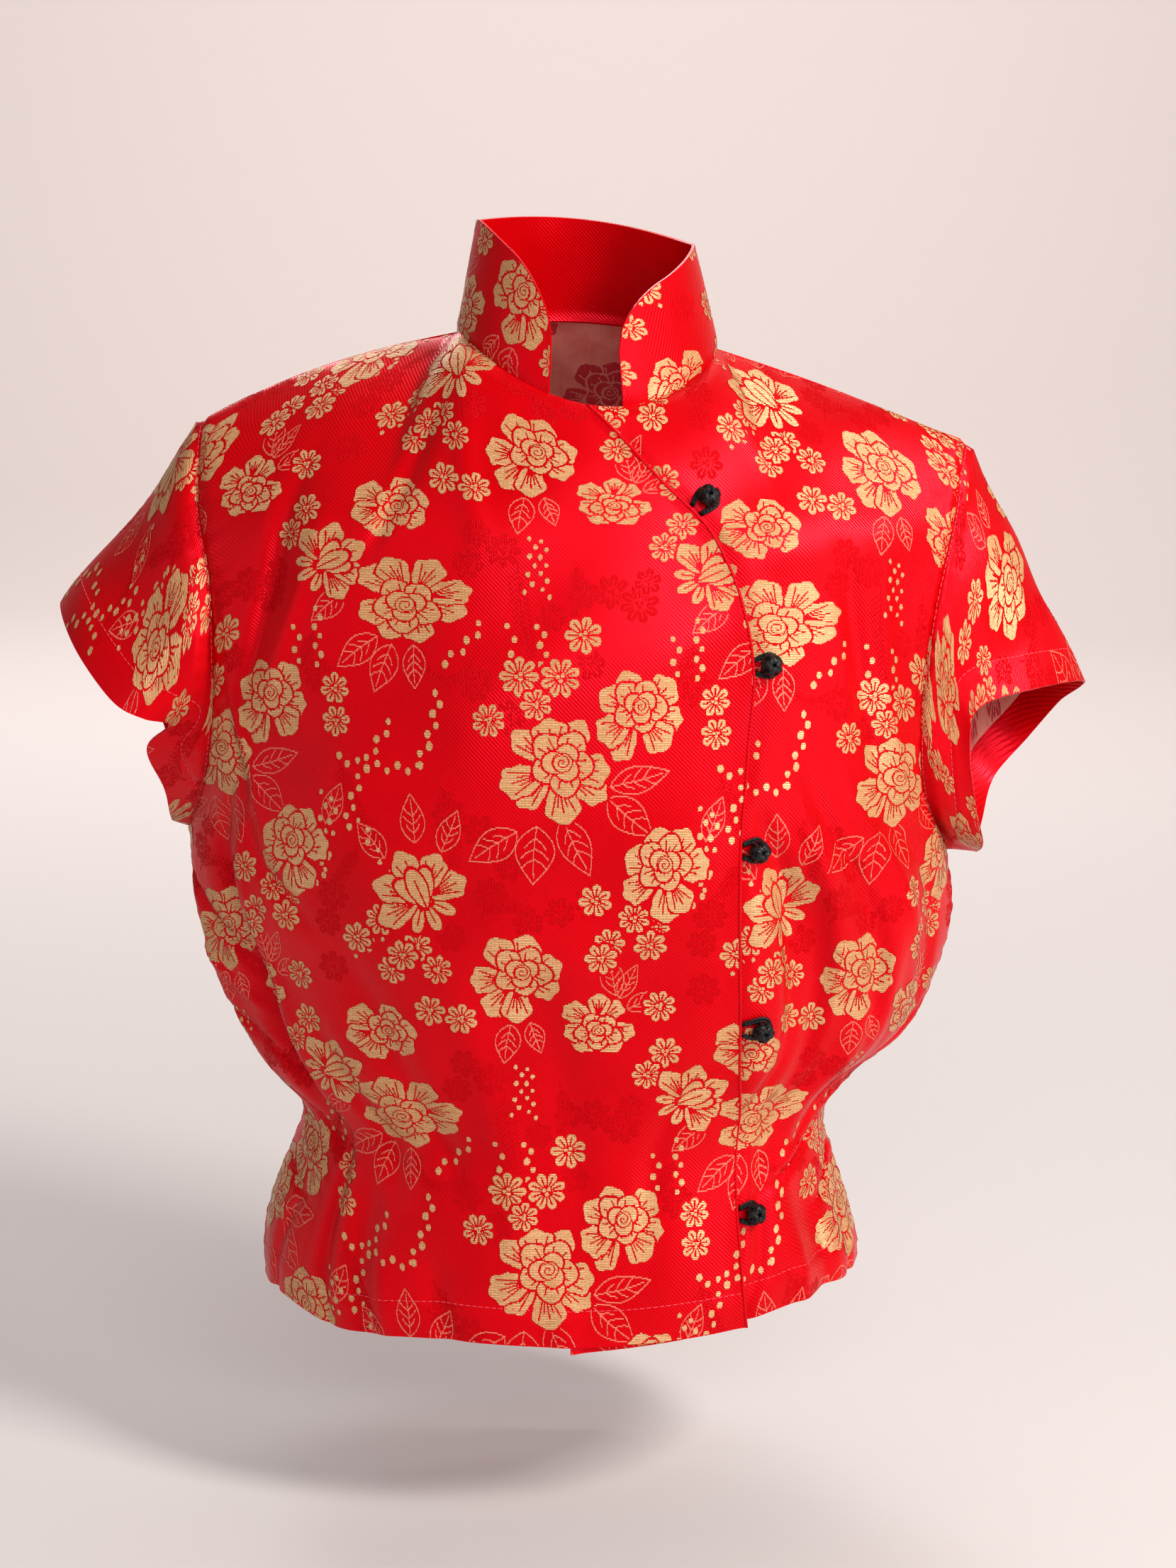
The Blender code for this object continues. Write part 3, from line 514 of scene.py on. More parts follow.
def front_grid(side, edge, hem, neck_columns):
    """Angles and heights of a front, from its side seam to its free edge."""
    outer = shoulder_angles(side)
    guide = level_rows(np.full(1, GUIDE_HEM))[:, 0]
    free = edge_angle(edge, guide)
    inner_share = np.linspace(0.0, 1.0, neck_columns + 1)[1:]
    start = side * NECK_ANGLE
    inner = start + (free[:, None] - start) * inner_share
    angles = np.hstack([np.repeat(outer[None, :], len(guide), axis=0), inner])
    heights = level_rows(table_curve(hem, angles[0]))
    return angles, heights


def lap_lift(points):
    """How far the right front is lifted clear of the left front where it laps over it."""
    lift = LAP_LIFT * smooth(LAP_BLEND_START, LAP_BLEND_END, points[..., 0])
    lift[-1] = LAP_LIFT * smooth(NECK_BLEND_START, NECK_BLEND_END, points[-1, :, 0])
    return lift


def sleeve_points(armhole, cuff, dip):
    """A cap sleeve from the armhole seam to the cuff edge, ring by ring, its first point repeated last."""
    count = len(armhole)
    shares = np.arange(count) / count
    rows = np.array(cuff)
    before = rows[-3:] - np.array([1.0, 0.0, 0.0, 0.0])
    after = rows[:3] + np.array([1.0, 0.0, 0.0, 0.0])
    ring = np.vstack([before, rows, after])
    edge = spline(ring[:, 0], ring[:, 1:], shares)
    middle = armhole.mean(axis=0)
    away = armhole - middle
    away[:, 0] = 0.0
    away = away / np.linalg.norm(away, axis=1)[:, None]
    upper = 0.5 - 0.5 * np.cos(2.0 * math.pi * shares)
    rings = []
    for number in range(SLEEVE_RINGS + 1):
        share = number / SLEEVE_RINGS
        rise = SLEEVE_CROWN * math.sin(math.pi * share) * (1.0 - share) ** 2
        sink = dip * math.sin(math.pi * share) ** 2
        push = (rise * upper - sink * upper**4)[:, None]
        rings.append(armhole + (edge - armhole) * share + away * push)
    rings = np.array(rings)
    return np.concatenate([rings, rings[:, :1]], axis=1)


def collar_points(base):
    """The stand collar on the neckline, its front ends rounded."""
    steps = np.linalg.norm(np.diff(base, axis=0), axis=1)
    along = np.concatenate([[0.0], np.cumsum(steps)])
    from_end = np.minimum(along, along[-1] - along)
    level = np.clip(1.0 - from_end / COLLAR_END_LENGTH, 0.0, 1.0)
    height = COLLAR_HEIGHT - COLLAR_END_DROP * (1.0 - np.sqrt(1.0 - level**2))
    lean = height / COLLAR_HEIGHT
    top = base.copy()
    top[:, 0] = top[:, 0] * (1.0 - (1.0 - COLLAR_TOP_WIDTH) * lean) + COLLAR_TOP_SIDEWAYS * lean
    top[:, 1] = top[:, 1] * (1.0 - (1.0 - COLLAR_TOP_DEPTH) * lean) + COLLAR_TOP_FORWARD * lean
    top[:, 2] += height - COLLAR_TOP_TILT * base[:, 0] * lean
    return np.array([base + (top - base) * ring / COLLAR_RINGS for ring in range(COLLAR_RINGS + 1)])


# Each visible cloth piece as a grid of points, rows from the hem, cuff or base
Cloth = namedtuple("Cloth", "name points facing closed flat")


def grid_normals(points, facing, closed):
    """The direction out of the cloth's right side at each grid point."""
    if closed:
        wrapped = np.concatenate([points[:, -2:-1], points, points[:, 1:2]], axis=1)
        across = wrapped[:, 2:] - wrapped[:, :-2]
    else:
        across = np.gradient(points, axis=1)
    upward = np.gradient(points, axis=0)
    normals = facing * np.cross(across, upward)
    return normals / np.maximum(np.linalg.norm(normals, axis=2), 1.0e-12)[..., None]


def row_lengths(points):
    """Distance along each row from its first point."""
    steps = np.linalg.norm(np.diff(points, axis=1), axis=2)
    return np.concatenate([np.zeros((len(points), 1)), np.cumsum(steps, axis=1)], axis=1)


def column_lengths(points):
    """Distance along each column from its first point."""
    return row_lengths(points.transpose(1, 0, 2)).T


def torso_flat(points, angles):
    """Where each point lies on the flat cloth: millimetres from the middle, and above the underarm."""
    along = row_lengths(points)
    order = np.sign(angles[0, -1] - angles[0, 0])
    middle = np.array([np.interp(0.0, order * row, run) for row, run in zip(angles, along)])
    across = order * (along - middle[:, None])
    upward = column_lengths(points)
    upward = upward - upward[BODY_ROWS : BODY_ROWS + 1]
    return np.stack([across, upward], axis=-1) / MILLIMETRE


def ring_flat(points, start):
    """The flat cloth of a sleeve or collar: millimetres along it, and out from its seam."""
    along = row_lengths(points)
    middle = along[:, start : start + 1]
    return np.stack([along - middle, column_lengths(points)], axis=-1) / MILLIMETRE


def sewn_in(points, normals, distance):
    """The cloth drawn in along a seam."""
    groove = SEAM_DEPTH * np.exp(-((distance / SEAM_WIDTH) ** 2))
    return points - normals * groove[..., None]


def sewn_to(points, edge, distance):
    """The cloth drawn to the edge of its neighbour along a seam."""
    pull = np.exp(-((distance / SEAM_WIDTH) ** 2))
    return points + (edge - points[:1]) * pull[..., None]


def puckered(points, normals, distance, run):
    """Small puckers that run out from a seam."""
    wave = np.sin(2.0 * math.pi * run / PUCKER_PITCH)
    wave = wave + 0.5 * np.sin(2.0 * math.pi * run / (1.7 * PUCKER_PITCH))
    height = PUCKER_HEIGHT * wave * np.exp(-distance / PUCKER_REACH) * smooth(0.0, SEAM_WIDTH, distance)
    return points + normals * height[..., None]


def hem_ridge(points, normals, from_edge):
    """The doubled hem: a little proud below its stitching, and drawn in along it."""
    proud = HEM_PROUD * (1.0 - smooth(HEM_DEPTH - HEM_STEP, HEM_DEPTH, from_edge))
    drawn = HEM_DRAWN * np.exp(-(((from_edge - HEM_DEPTH) / HEM_DRAWN_WIDTH) ** 2))
    return points + normals * (proud - drawn)[..., None]


def set_hem(grid, last, depth):
    """Move the rows of a grid between its first and last so that one lies on the hem stitching."""
    lengths = column_lengths(grid[..., :3])
    moved = grid.copy()
    for column in range(grid.shape[1]):
        run = lengths[: last + 1, column]
        hem = min(depth, HEM_LARGEST_SHARE * run[-1])
        upper = np.linspace(hem, run[-1], last - HEM_ROWS + 1)
        at = np.concatenate([np.linspace(0.0, hem, HEM_ROWS + 1), upper[1:]])
        for axis in range(grid.shape[2]):
            moved[: last + 1, column, axis] = np.interp(at, run, grid[: last + 1, column, axis])
    return moved


def finish_torso(name, half, angles, heights, points, facing, seams):
    """Add the wrinkles, the ripple, the seams, the rolled free edge and the hem to a torso piece."""
    normals = grid_normals(points, facing, False)
    push = wrinkles(half, angles, heights)
    along = row_lengths(points)
    upward = column_lengths(points)
    from_top = upward[-1:] - upward
    from_last = along[:, -1:] - along
    first_side = along if "first" in seams else along + 1.0
    last_side = from_last if "last" in seams else along + 1.0
    calm = smooth(0.0, SEAM_CALM, from_top) * smooth(0.0, SEAM_CALM, first_side)
    calm = calm * smooth(0.0, SEAM_CALM, last_side)
    push = (push + ripple(points)) * calm
    points = points + normals * push[..., None]
    if "first" in seams:
        points = puckered(points, normals, along, upward)
        points = sewn_in(points, normals, along)
    if "last" in seams:
        points = puckered(points, normals, from_last, upward)
        points = sewn_in(points, normals, from_last)
    else:
        roll = EDGE_ROLL * np.exp(-((from_last / EDGE_ROLL_WIDTH) ** 2)) * calm
        points = points + normals * roll[..., None]
    points = sewn_in(points, normals, from_top)
    points = hem_ridge(points, normals, upward)
    grid = set_hem(np.concatenate([points, angles[..., None]], axis=2), BODY_ROWS, HEM_DEPTH)
    points = grid[..., :3]
    return Cloth(name, points, facing, False, torso_flat(points, grid[..., 3]))


def cut_cloth():
    """The six cloth pieces of the top, in place."""
    angles, heights = front_grid(-1.0, LAP_EDGE, RIGHT_HEM, RIGHT_NECK_COLUMNS)
    right = torso("front", angles, heights, lap_lift(torso("front", angles, heights)))
    right_front = finish_torso("right_front", "front", angles, heights, right, 1.0, ("first",))
    angles, heights = front_grid(1.0, UNDERLAP_EDGE, LEFT_HEM, LEFT_NECK_COLUMNS)
    left = torso("front", angles, heights)
    from_lap = left[..., 0] - table_curve(LAP_EDGE, left[..., 2].ravel()).reshape(heights.shape)
    below_top = left[-1:, :, 2] - left[..., 2]
    pressed = LAP_PRESS * np.exp(-((from_lap / LAP_PRESS_WIDTH) ** 2)) * smooth(0.0, LAP_PRESS_TOP, below_top)
    left = left + grid_normals(left, -1.0, False) * -pressed[..., None]
    left_front = finish_torso("left_front", "front", angles, heights, left, -1.0, ("first",))
    outer = shoulder_angles(-1.0)
    inner = np.linspace(-NECK_ANGLE, NECK_ANGLE, BACK_NECK_COLUMNS + 1)[1:-1]
    row = np.concatenate([outer, inner, -outer[::-1]])
    heights = level_rows(table_curve(BACK_HEM, row))
    angles = np.repeat(row[None, :], len(heights), axis=0)
    whole = torso("back", angles, heights)
    back = finish_torso("back", "back", angles, heights, whole, -1.0, ("first", "last"))

    pieces = [right_front, left_front, back]
    for name, front, sewn, side, cuff, dip, facing in (
        ("right_sleeve", right, right_front.points, 0, RIGHT_CUFF, RIGHT_SLEEVE_DIP, 1.0),
        ("left_sleeve", left, left_front.points, -1, LEFT_CUFF, LEFT_SLEEVE_DIP, -1.0),
    ):
        armhole = np.vstack([front[BODY_ROWS:, 0], whole[BODY_ROWS:, side][-2:0:-1]])
        edge = np.vstack([sewn[BODY_ROWS:, 0], back.points[BODY_ROWS:, side][-2:0:-1], sewn[BODY_ROWS, 0]])
        points = sleeve_points(armhole, cuff, dip)
        normals = grid_normals(points, facing, True)
        out = column_lengths(points)
        around = row_lengths(points)
        from_underarm = np.minimum(around, around[:, -1:] - around)
        calm = smooth(0.0, SEAM_CALM, out) * smooth(0.0, UNDERARM_CALM, from_underarm)
        points = points + normals * (SLEEVE_RIPPLE * ripple(points) * calm)[..., None]
        points = puckered(points, normals, out, around)
        points = sewn_to(points, edge, out)
        points = hem_ridge(points, normals, out[-1:] - out)
        points = set_hem(points[::-1], SLEEVE_RINGS, HEM_DEPTH)[::-1]
        pieces.append(Cloth(name, points, facing, True, ring_flat(points, ARMHOLE_ROWS)))

    neck = SHOULDER_COLUMNS
    right_end = neck + int(round(RIGHT_NECK_COLUMNS * RIGHT_COLLAR_SHARE))
    left_end = neck + int(round(LEFT_NECK_COLUMNS * LEFT_COLLAR_SHARE))
    right_neck = slice(neck, right_end + 1)
    left_neck = slice(neck + 1, left_end + 1)
    back_neck = slice(neck + 1, -neck)
    base = np.vstack([right[-1, right_neck][::-1], whole[-1, back_neck], left[-1, left_neck]])
    tops = [
        right_front.points[-1, right_neck][::-1],
        back.points[-1, back_neck],
        left_front.points[-1, left_neck],
    ]
    points = collar_points(base)
    normals = grid_normals(points, -1.0, False)
    up = column_lengths(points)
    points = points + normals * (COLLAR_RIPPLE * ripple(points) * smooth(0.0, COLLAR_CALM, up))[..., None]
    points = sewn_to(points, np.vstack(tops), up)
    middle = (len(base) - 1) // 2
    pieces.append(Cloth("collar", points, -1.0, False, ring_flat(points, middle)))
    return pieces


def linear(hex_colour):
    """An sRGB hex colour as the linear colour that a shader reads."""
    values = [int(hex_colour[place : place + 2], 16) / 255.0 for place in (1, 3, 5)]
    curve = [v / 12.92 if v <= 0.04045 else ((v + 0.055) / 1.055) ** 2.4 for v in values]
    return (*curve, 1.0)


def add_node(tree, kind, settings=None, inputs=None):
    """One shader node, with its settings, and its inputs set or linked."""
    node = tree.nodes.new(kind)
    for name, value in (settings or {}).items():
        setattr(node, name, value)
    for name, value in (inputs or {}).items():
        if isinstance(value, bpy.types.NodeSocket):
            tree.links.new(value, node.inputs[name])
        else:
            node.inputs[name].default_value = value
    return node


def new_material(name):
    """An empty node material and its shader."""
    material = bpy.data.materials.new(name)
    material.use_nodes = True
    tree = material.node_tree
    return material, tree, tree.nodes["Principled BSDF"]


def bands(period):
    """Wave texture scale that gives one band for each period, in metres."""
    return 2.0 * math.pi / 20.0 / period


def ramp(tree, source, stops):
    """A colour ramp with its stops given as position and colour."""
    node = add_node(tree, "ShaderNodeValToRGB", inputs={"Fac": source})
    while len(node.color_ramp.elements) < len(stops):
        node.color_ramp.elements.new(0.5)
    for element, (position, colour) in zip(node.color_ramp.elements, stops):
        element.position = position
        element.color = colour
    return node.outputs["Color"]


def raised(tree, shader, height, strength, distance):
    """Fine relief on a surface."""
    values = {"Height": height, "Strength": strength, "Distance": distance}
    bump = add_node(tree, "ShaderNodeBump", inputs=values)
    tree.links.new(bump.outputs["Normal"], shader.inputs["Normal"])


def shaded(tree, colour, thread, share):
    """A colour with painted shade in the dips between the threads."""
    node = add_node(
        tree,
        "ShaderNodeMix",
        {"data_type": "RGBA", "blend_type": "MULTIPLY"},
        {"Factor": share, "A": colour, "B": thread},
    )
    return node.outputs["Result"]


def woven(tree, shader, period, strength, direction="DIAGONAL", slub=0.35):
    """Thread bump for cloth: even bands of the thread spacing, broken by slubs."""
    place = add_node(tree, "ShaderNodeUVMap", {"uv_map": "cloth"}).outputs["UV"]
    thread = add_node(
        tree,
        "ShaderNodeTexWave",
        {"wave_type": "BANDS", "bands_direction": direction},
        {"Vector": place, "Scale": bands(period), "Distortion": slub, "Detail": 2.0, "Detail Scale": 3.0},
    )
    raised(tree, shader, thread.outputs["Fac"], strength, 0.0004)
    return place, thread.outputs["Fac"]


def satin_ground():
    """Red warp satin: long floats of filament silk give a deep ground with broad pink highlights."""
    material, tree, shader = new_material("red_warp_satin")
    place, thread = woven(tree, shader, 1.1 * MILLIMETRE, 0.32)
    cloud = add_node(tree, "ShaderNodeTexNoise", inputs={"Vector": place, "Scale": 14.0, "Detail": 4.0})
    deep = ramp(tree, cloud.outputs["Fac"], ((0.30, linear("#C80004")), (0.70, linear("#DA0007"))))
    tree.links.new(shaded(tree, deep, thread, 0.16), shader.inputs["Base Color"])
    rough = add_node(
        tree,
        "ShaderNodeMapRange",
        inputs={"Value": cloud.outputs["Fac"], "To Min": 0.29, "To Max": 0.36},
    )
    tree.links.new(rough.outputs["Result"], shader.inputs["Roughness"])
    shader.inputs["Metallic"].default_value = 0.20
    shader.inputs["Specular IOR Level"].default_value = 0.68
    shader.inputs["Specular Tint"].default_value = linear("#FF5076")
    shader.inputs["Sheen Weight"].default_value = 0.02
    shader.inputs["Sheen Roughness"].default_value = 0.30
    shader.inputs["Sheen Tint"].default_value = linear("#FF3050")
    return material


def gold_weft():
    """Gold-coloured silk weft: close horizontal floats, tied down at intervals, with a soft gleam."""
    material, tree, shader = new_material("gold_silk_weft")
    place, thread = woven(tree, shader, 0.9 * MILLIMETRE, 0.55, "Y", 0.6)
    ties = add_node(
        tree,
        "ShaderNodeTexBrick",
        {"offset": 0.5},
        {
            "Vector": place,
            "Color1": linear("#E4AE78"),
            "Color2": linear("#D49A62"),
            "Mortar": linear("#B0603C"),
            "Scale": 1.0,
            "Mortar Size": 0.00012,
            "Brick Width": 0.0040,
            "Row Height": 0.0013,
        },
    )
    tree.links.new(shaded(tree, ties.outputs["Color"], thread, 0.22), shader.inputs["Base Color"])
    shader.inputs["Roughness"].default_value = 0.36
    shader.inputs["Metallic"].default_value = 0.15
    shader.inputs["Specular IOR Level"].default_value = 1.0
    shader.inputs["Specular Tint"].default_value = linear("#FFE6C4")
    shader.inputs["Sheen Weight"].default_value = 0.06
    shader.inputs["Sheen Tint"].default_value = linear("#FFE9B8")
    return material


def outline_weft():
    """Rose-gold weft in single passes, which draws the leaves as fine broken lines."""
    material, tree, shader = new_material("rose_gold_outline_weft")
    thread = woven(tree, shader, 0.8 * MILLIMETRE, 0.4, "Y")[1]
    colour = ramp(tree, thread, ((0.15, linear("#CE3A2C")), (0.75, linear("#E27C5E"))))
    tree.links.new(colour, shader.inputs["Base Color"])
    shader.inputs["Roughness"].default_value = 0.5
    return material


def tone_weft():
    """Red weft figures on the red ground: the same dye with short floats, so darker and duller."""
    material, tree, shader = new_material("dull_red_weft")
    thread = woven(tree, shader, 0.9 * MILLIMETRE, 0.5, "X")[1]
    colour = ramp(tree, thread, ((0.0, linear("#B20006")), (1.0, linear("#C60009"))))
    tree.links.new(colour, shader.inputs["Base Color"])
    shader.inputs["Roughness"].default_value = 0.6
    shader.inputs["Specular IOR Level"].default_value = 0.2
    shader.inputs["Specular Tint"].default_value = linear("#FF7088")
    return material


def cloth_reverse():
    """The wrong side of the brocade: pale floats of gold and red weft that read as dusty pink."""
    material, tree, shader = new_material("pale_pink_reverse")
    place, thread = woven(tree, shader, 1.2 * MILLIMETRE, 0.35, "X")
    cloud = add_node(tree, "ShaderNodeTexNoise", inputs={"Vector": place, "Scale": 60.0, "Detail": 3.0})
    colour = ramp(tree, cloud.outputs["Fac"], ((0.35, linear("#E4786C")), (0.70, linear("#F09686"))))
    tree.links.new(shaded(tree, colour, thread, 0.2), shader.inputs["Base Color"])
    shader.inputs["Roughness"].default_value = 0.75
    return material


def reverse_floats():
    """Red warp where the gold lies on the right side: on the wrong side the flowers show in red."""
    material, tree, shader = new_material("red_reverse_floats")
    thread = woven(tree, shader, 1.0 * MILLIMETRE, 0.4, "X")[1]
    colour = ramp(tree, thread, ((0.0, linear("#B01020")), (1.0, linear("#D23040"))))
    tree.links.new(colour, shader.inputs["Base Color"])
    shader.inputs["Roughness"].default_value = 0.6
    return material


def sewing_thread():
    """Red polyester sewing thread, with painted highlights along its twist that make it paler than the satin.
    """
    material, tree, shader = new_material("red_sewing_thread")
    place = add_node(tree, "ShaderNodeTexCoord").outputs["Object"]
    twist = add_node(
        tree,
        "ShaderNodeTexWave",
        {"bands_direction": "DIAGONAL"},
        {"Vector": place, "Scale": bands(0.5 * MILLIMETRE)},
    )
    # Painted highlight: the colour is paler on the twist's bands, where the thread would catch the light.
    colour = ramp(tree, twist.outputs["Fac"], ((0.0, linear("#C41420")), (1.0, linear("#F0586A"))))
    tree.links.new(colour, shader.inputs["Base Color"])
    shader.inputs["Roughness"].default_value = 0.45
    return material


def knot_cord():
    """Black rayon cord, twisted, with a faint grey painted highlight on the turns of its strands."""
    material, tree, shader = new_material("black_rayon_cord")
    place = add_node(tree, "ShaderNodeUVMap", {"uv_map": "cloth"}).outputs["UV"]
    strand = add_node(
        tree,
        "ShaderNodeTexWave",
        {"bands_direction": "DIAGONAL"},
        {"Vector": place, "Scale": bands(0.9 * MILLIMETRE), "Distortion": 0.3},
    )
    # Painted highlight: the colour is a little greyer on the turns of the strands.
    colour = ramp(tree, strand.outputs["Fac"], ((0.0, linear("#030304")), (1.0, linear("#101013"))))
    tree.links.new(colour, shader.inputs["Base Color"])
    raised(tree, shader, strand.outputs["Fac"], 0.6, 0.0003)
    shader.inputs["Roughness"].default_value = 0.36
    shader.inputs["Specular IOR Level"].default_value = 0.28
    return material


def studio_paint(name, colour):
    """Plain matt paint of the room, with a faint roller texture."""
    material, tree, shader = new_material(name)
    grain = add_node(tree, "ShaderNodeTexNoise", inputs={"Scale": 90.0, "Detail": 3.0})
    raised(tree, shader, grain.outputs["Fac"], 0.05, 0.001)
    shader.inputs["Base Color"].default_value = colour
    shader.inputs["Roughness"].default_value = 0.9
    return material


def link_mesh(name, points, faces, materials, indices=None, flat=None):
    """Put a mesh in the scene, with its place on the flat cloth as a UV map in metres."""
    mesh = bpy.data.meshes.new(name)
    mesh.from_pydata(np.asarray(points).tolist(), [], [tuple(map(int, face)) for face in faces])
    for material in materials:
        mesh.materials.append(material)
    if indices is not None:
        mesh.polygons.foreach_set("material_index", indices)
    if flat is not None:
        layer = mesh.uv_layers.new(name="cloth")
        corners = np.zeros(len(mesh.loops), dtype=np.int32)
        mesh.loops.foreach_get("vertex_index", corners)
        layer.data.foreach_set("uv", (np.asarray(flat)[corners] * MILLIMETRE).astype(np.float32).ravel())
    mesh.shade_smooth()
    mesh.update()
    thing = bpy.data.objects.new(name, mesh)
    bpy.context.scene.collection.objects.link(thing)
    return thing


def grid_quads(number):
    """The corners of every cell of a numbered grid."""
    corners = [number[:-1, :-1], number[:-1, 1:], number[1:, 1:], number[1:, :-1]]
    return np.stack(corners, axis=-1).reshape(-1, 4)


def wall_depth(cloth):
    """How thick the cloth is at each grid point: doubled at hems, cuffs and the whole collar."""
    lengths = column_lengths(cloth.points)
    if cloth.name == "collar":
        return np.full(lengths.shape, COLLAR_WALL)
    doubled = np.zeros(lengths.shape)
    band = slice(-HEM_ROWS - 1, None) if cloth.closed else slice(None, HEM_ROWS + 1)
    doubled[band] = 1.0
    if cloth.name == "right_front":
        along = row_lengths(cloth.points)
        doubled = np.maximum(doubled, 1.0 - smooth(LAP_TURN_START, LAP_TURN_END, along[:, -1:] - along))
    return CLOTH_WALL + (HEM_WALL - CLOTH_WALL) * doubled


def cloth_shell(cloth, satin, reverse):
    """The thin wall of a cloth piece: right side, wrong side with its turned-in hem, and its edges."""
    points = cloth.points
    rows, columns = points.shape[:2]
    normals = grid_normals(points, cloth.facing, cloth.closed)
    depth = wall_depth(cloth)
    inner = points - normals * depth[..., None]
    number = np.arange(rows * columns).reshape(rows, columns)
    if cloth.closed:
        number[:, -1] = number[:, 0]
    count = rows * columns
    quads = grid_quads(number)
    thick = depth > 0.5 * (CLOTH_WALL + HEM_WALL)
    doubled = (thick[:-1, :-1] & thick[1:, :-1] & thick[:-1, 1:] & thick[1:, 1:]).ravel()
    outer_quads = quads if cloth.facing > 0 else quads[:, ::-1]
    inner_quads = quads[:, ::-1] + count if cloth.facing > 0 else quads + count
    rims = [number[0], number[-1][::-1]]
    if not cloth.closed:
        rims += [number[::-1, 0], number[:, -1]]
    edge_quads = []
    for rim in rims:
        for here, there in zip(rim[:-1], rim[1:]):
            quad = (there, here, here + count, there + count)
            edge_quads.append(quad if cloth.facing > 0 else quad[::-1])
    faces = np.vstack([outer_quads, inner_quads, np.array(edge_quads)])
    satin_index, reverse_index = 0, 1
    indices = np.concatenate(
        [
            np.full(len(outer_quads), satin_index),
            np.where(doubled, satin_index, reverse_index),
            np.full(len(edge_quads), satin_index),
        ]
    ).astype(np.int32)
    used = np.unique(faces)
    renumber = np.zeros(2 * count, dtype=np.int64)
    renumber[used] = np.arange(len(used))
    everything = np.vstack([points.reshape(-1, 3), inner.reshape(-1, 3)])[used]
    flat = np.vstack([cloth.flat.reshape(-1, 2)] * 2)[used]
    shell = link_mesh(f"{cloth.name}_cloth", everything, renumber[faces], (satin, reverse), indices, flat)
    shell.data.set_sharp_from_angle(angle=math.radians(SHARP_ANGLE))
    return shell


class FlatCloth:
    """A piece of cloth laid flat, so that what is woven on it can be carried to where it hangs."""

    def __init__(self, cloth, inside=False):
        rows, columns = cloth.points.shape[:2]
        single = slice(None)
        if inside:
            single = slice(None, -HEM_ROWS) if cloth.closed else slice(HEM_ROWS, None)
            rows = rows - HEM_ROWS
        number = np.arange(rows * columns).reshape(rows, columns)
        low = np.stack([number[:-1, :-1], number[:-1, 1:], number[1:, 1:]], axis=-1).reshape(-1, 3)
        high = np.stack([number[:-1, :-1], number[1:, 1:], number[1:, :-1]], axis=-1).reshape(-1, 3)
        self.triangles = np.vstack([low, high])
        self.flat = cloth.flat[single].reshape(-1, 2)
        normals = grid_normals(cloth.points, cloth.facing, cloth.closed)
        points = cloth.points
        if inside:
            points = points - normals * wall_depth(cloth)[..., None]
            normals = -normals
        self.points = points[single].reshape(-1, 3)
        self.normals = normals[single].reshape(-1, 3)
        corners = [(u, v, 0.0) for u, v in self.flat.tolist()]
        self.tree = BVHTree.FromPolygons(corners, self.triangles.tolist())

    def carry(self, flat):
        """Points and normals of the hung cloth at flat places, and which of them lie on this piece."""
        found = np.full(len(flat), -1)
        down = (0.0, 0.0, -1.0)
        for place, (u, v) in enumerate(flat.tolist()):
            hit = self.tree.ray_cast((u, v, 1.0), down)
            if hit[2] is not None:
                found[place] = hit[2]
        inside = found >= 0
        triangle = self.triangles[np.where(inside, found, 0)]
        a, b, c = (self.flat[triangle[:, corner]] for corner in range(3))
        ab, ac, ap = b - a, c - a, flat - a
        area = ab[:, 0] * ac[:, 1] - ab[:, 1] * ac[:, 0]
        area = np.where(np.abs(area) < 1.0e-12, 1.0, area)
        share_b = (ap[:, 0] * ac[:, 1] - ap[:, 1] * ac[:, 0]) / area
        share_c = (ab[:, 0] * ap[:, 1] - ab[:, 1] * ap[:, 0]) / area
        weights = np.stack([1.0 - share_b - share_c, share_b, share_c], axis=-1)[..., None]
        points = (self.points[triangle] * weights).sum(axis=1)
        normals = (self.normals[triangle] * weights).sum(axis=1)
        normals = normals / np.maximum(np.linalg.norm(normals, axis=1), 1.0e-12)[:, None]
        return points, normals, inside


# What a cell of the weaver's chart shows
GROUND, GOLD, LINES, TONE = range(4)
CELL_ACROSS = 0.4
CELL_DOWN = 0.71
GAP = 1.15
LINE_HALF = 0.21
NOTCH_HALF = 0.46
TRACE_STEP = 0.3


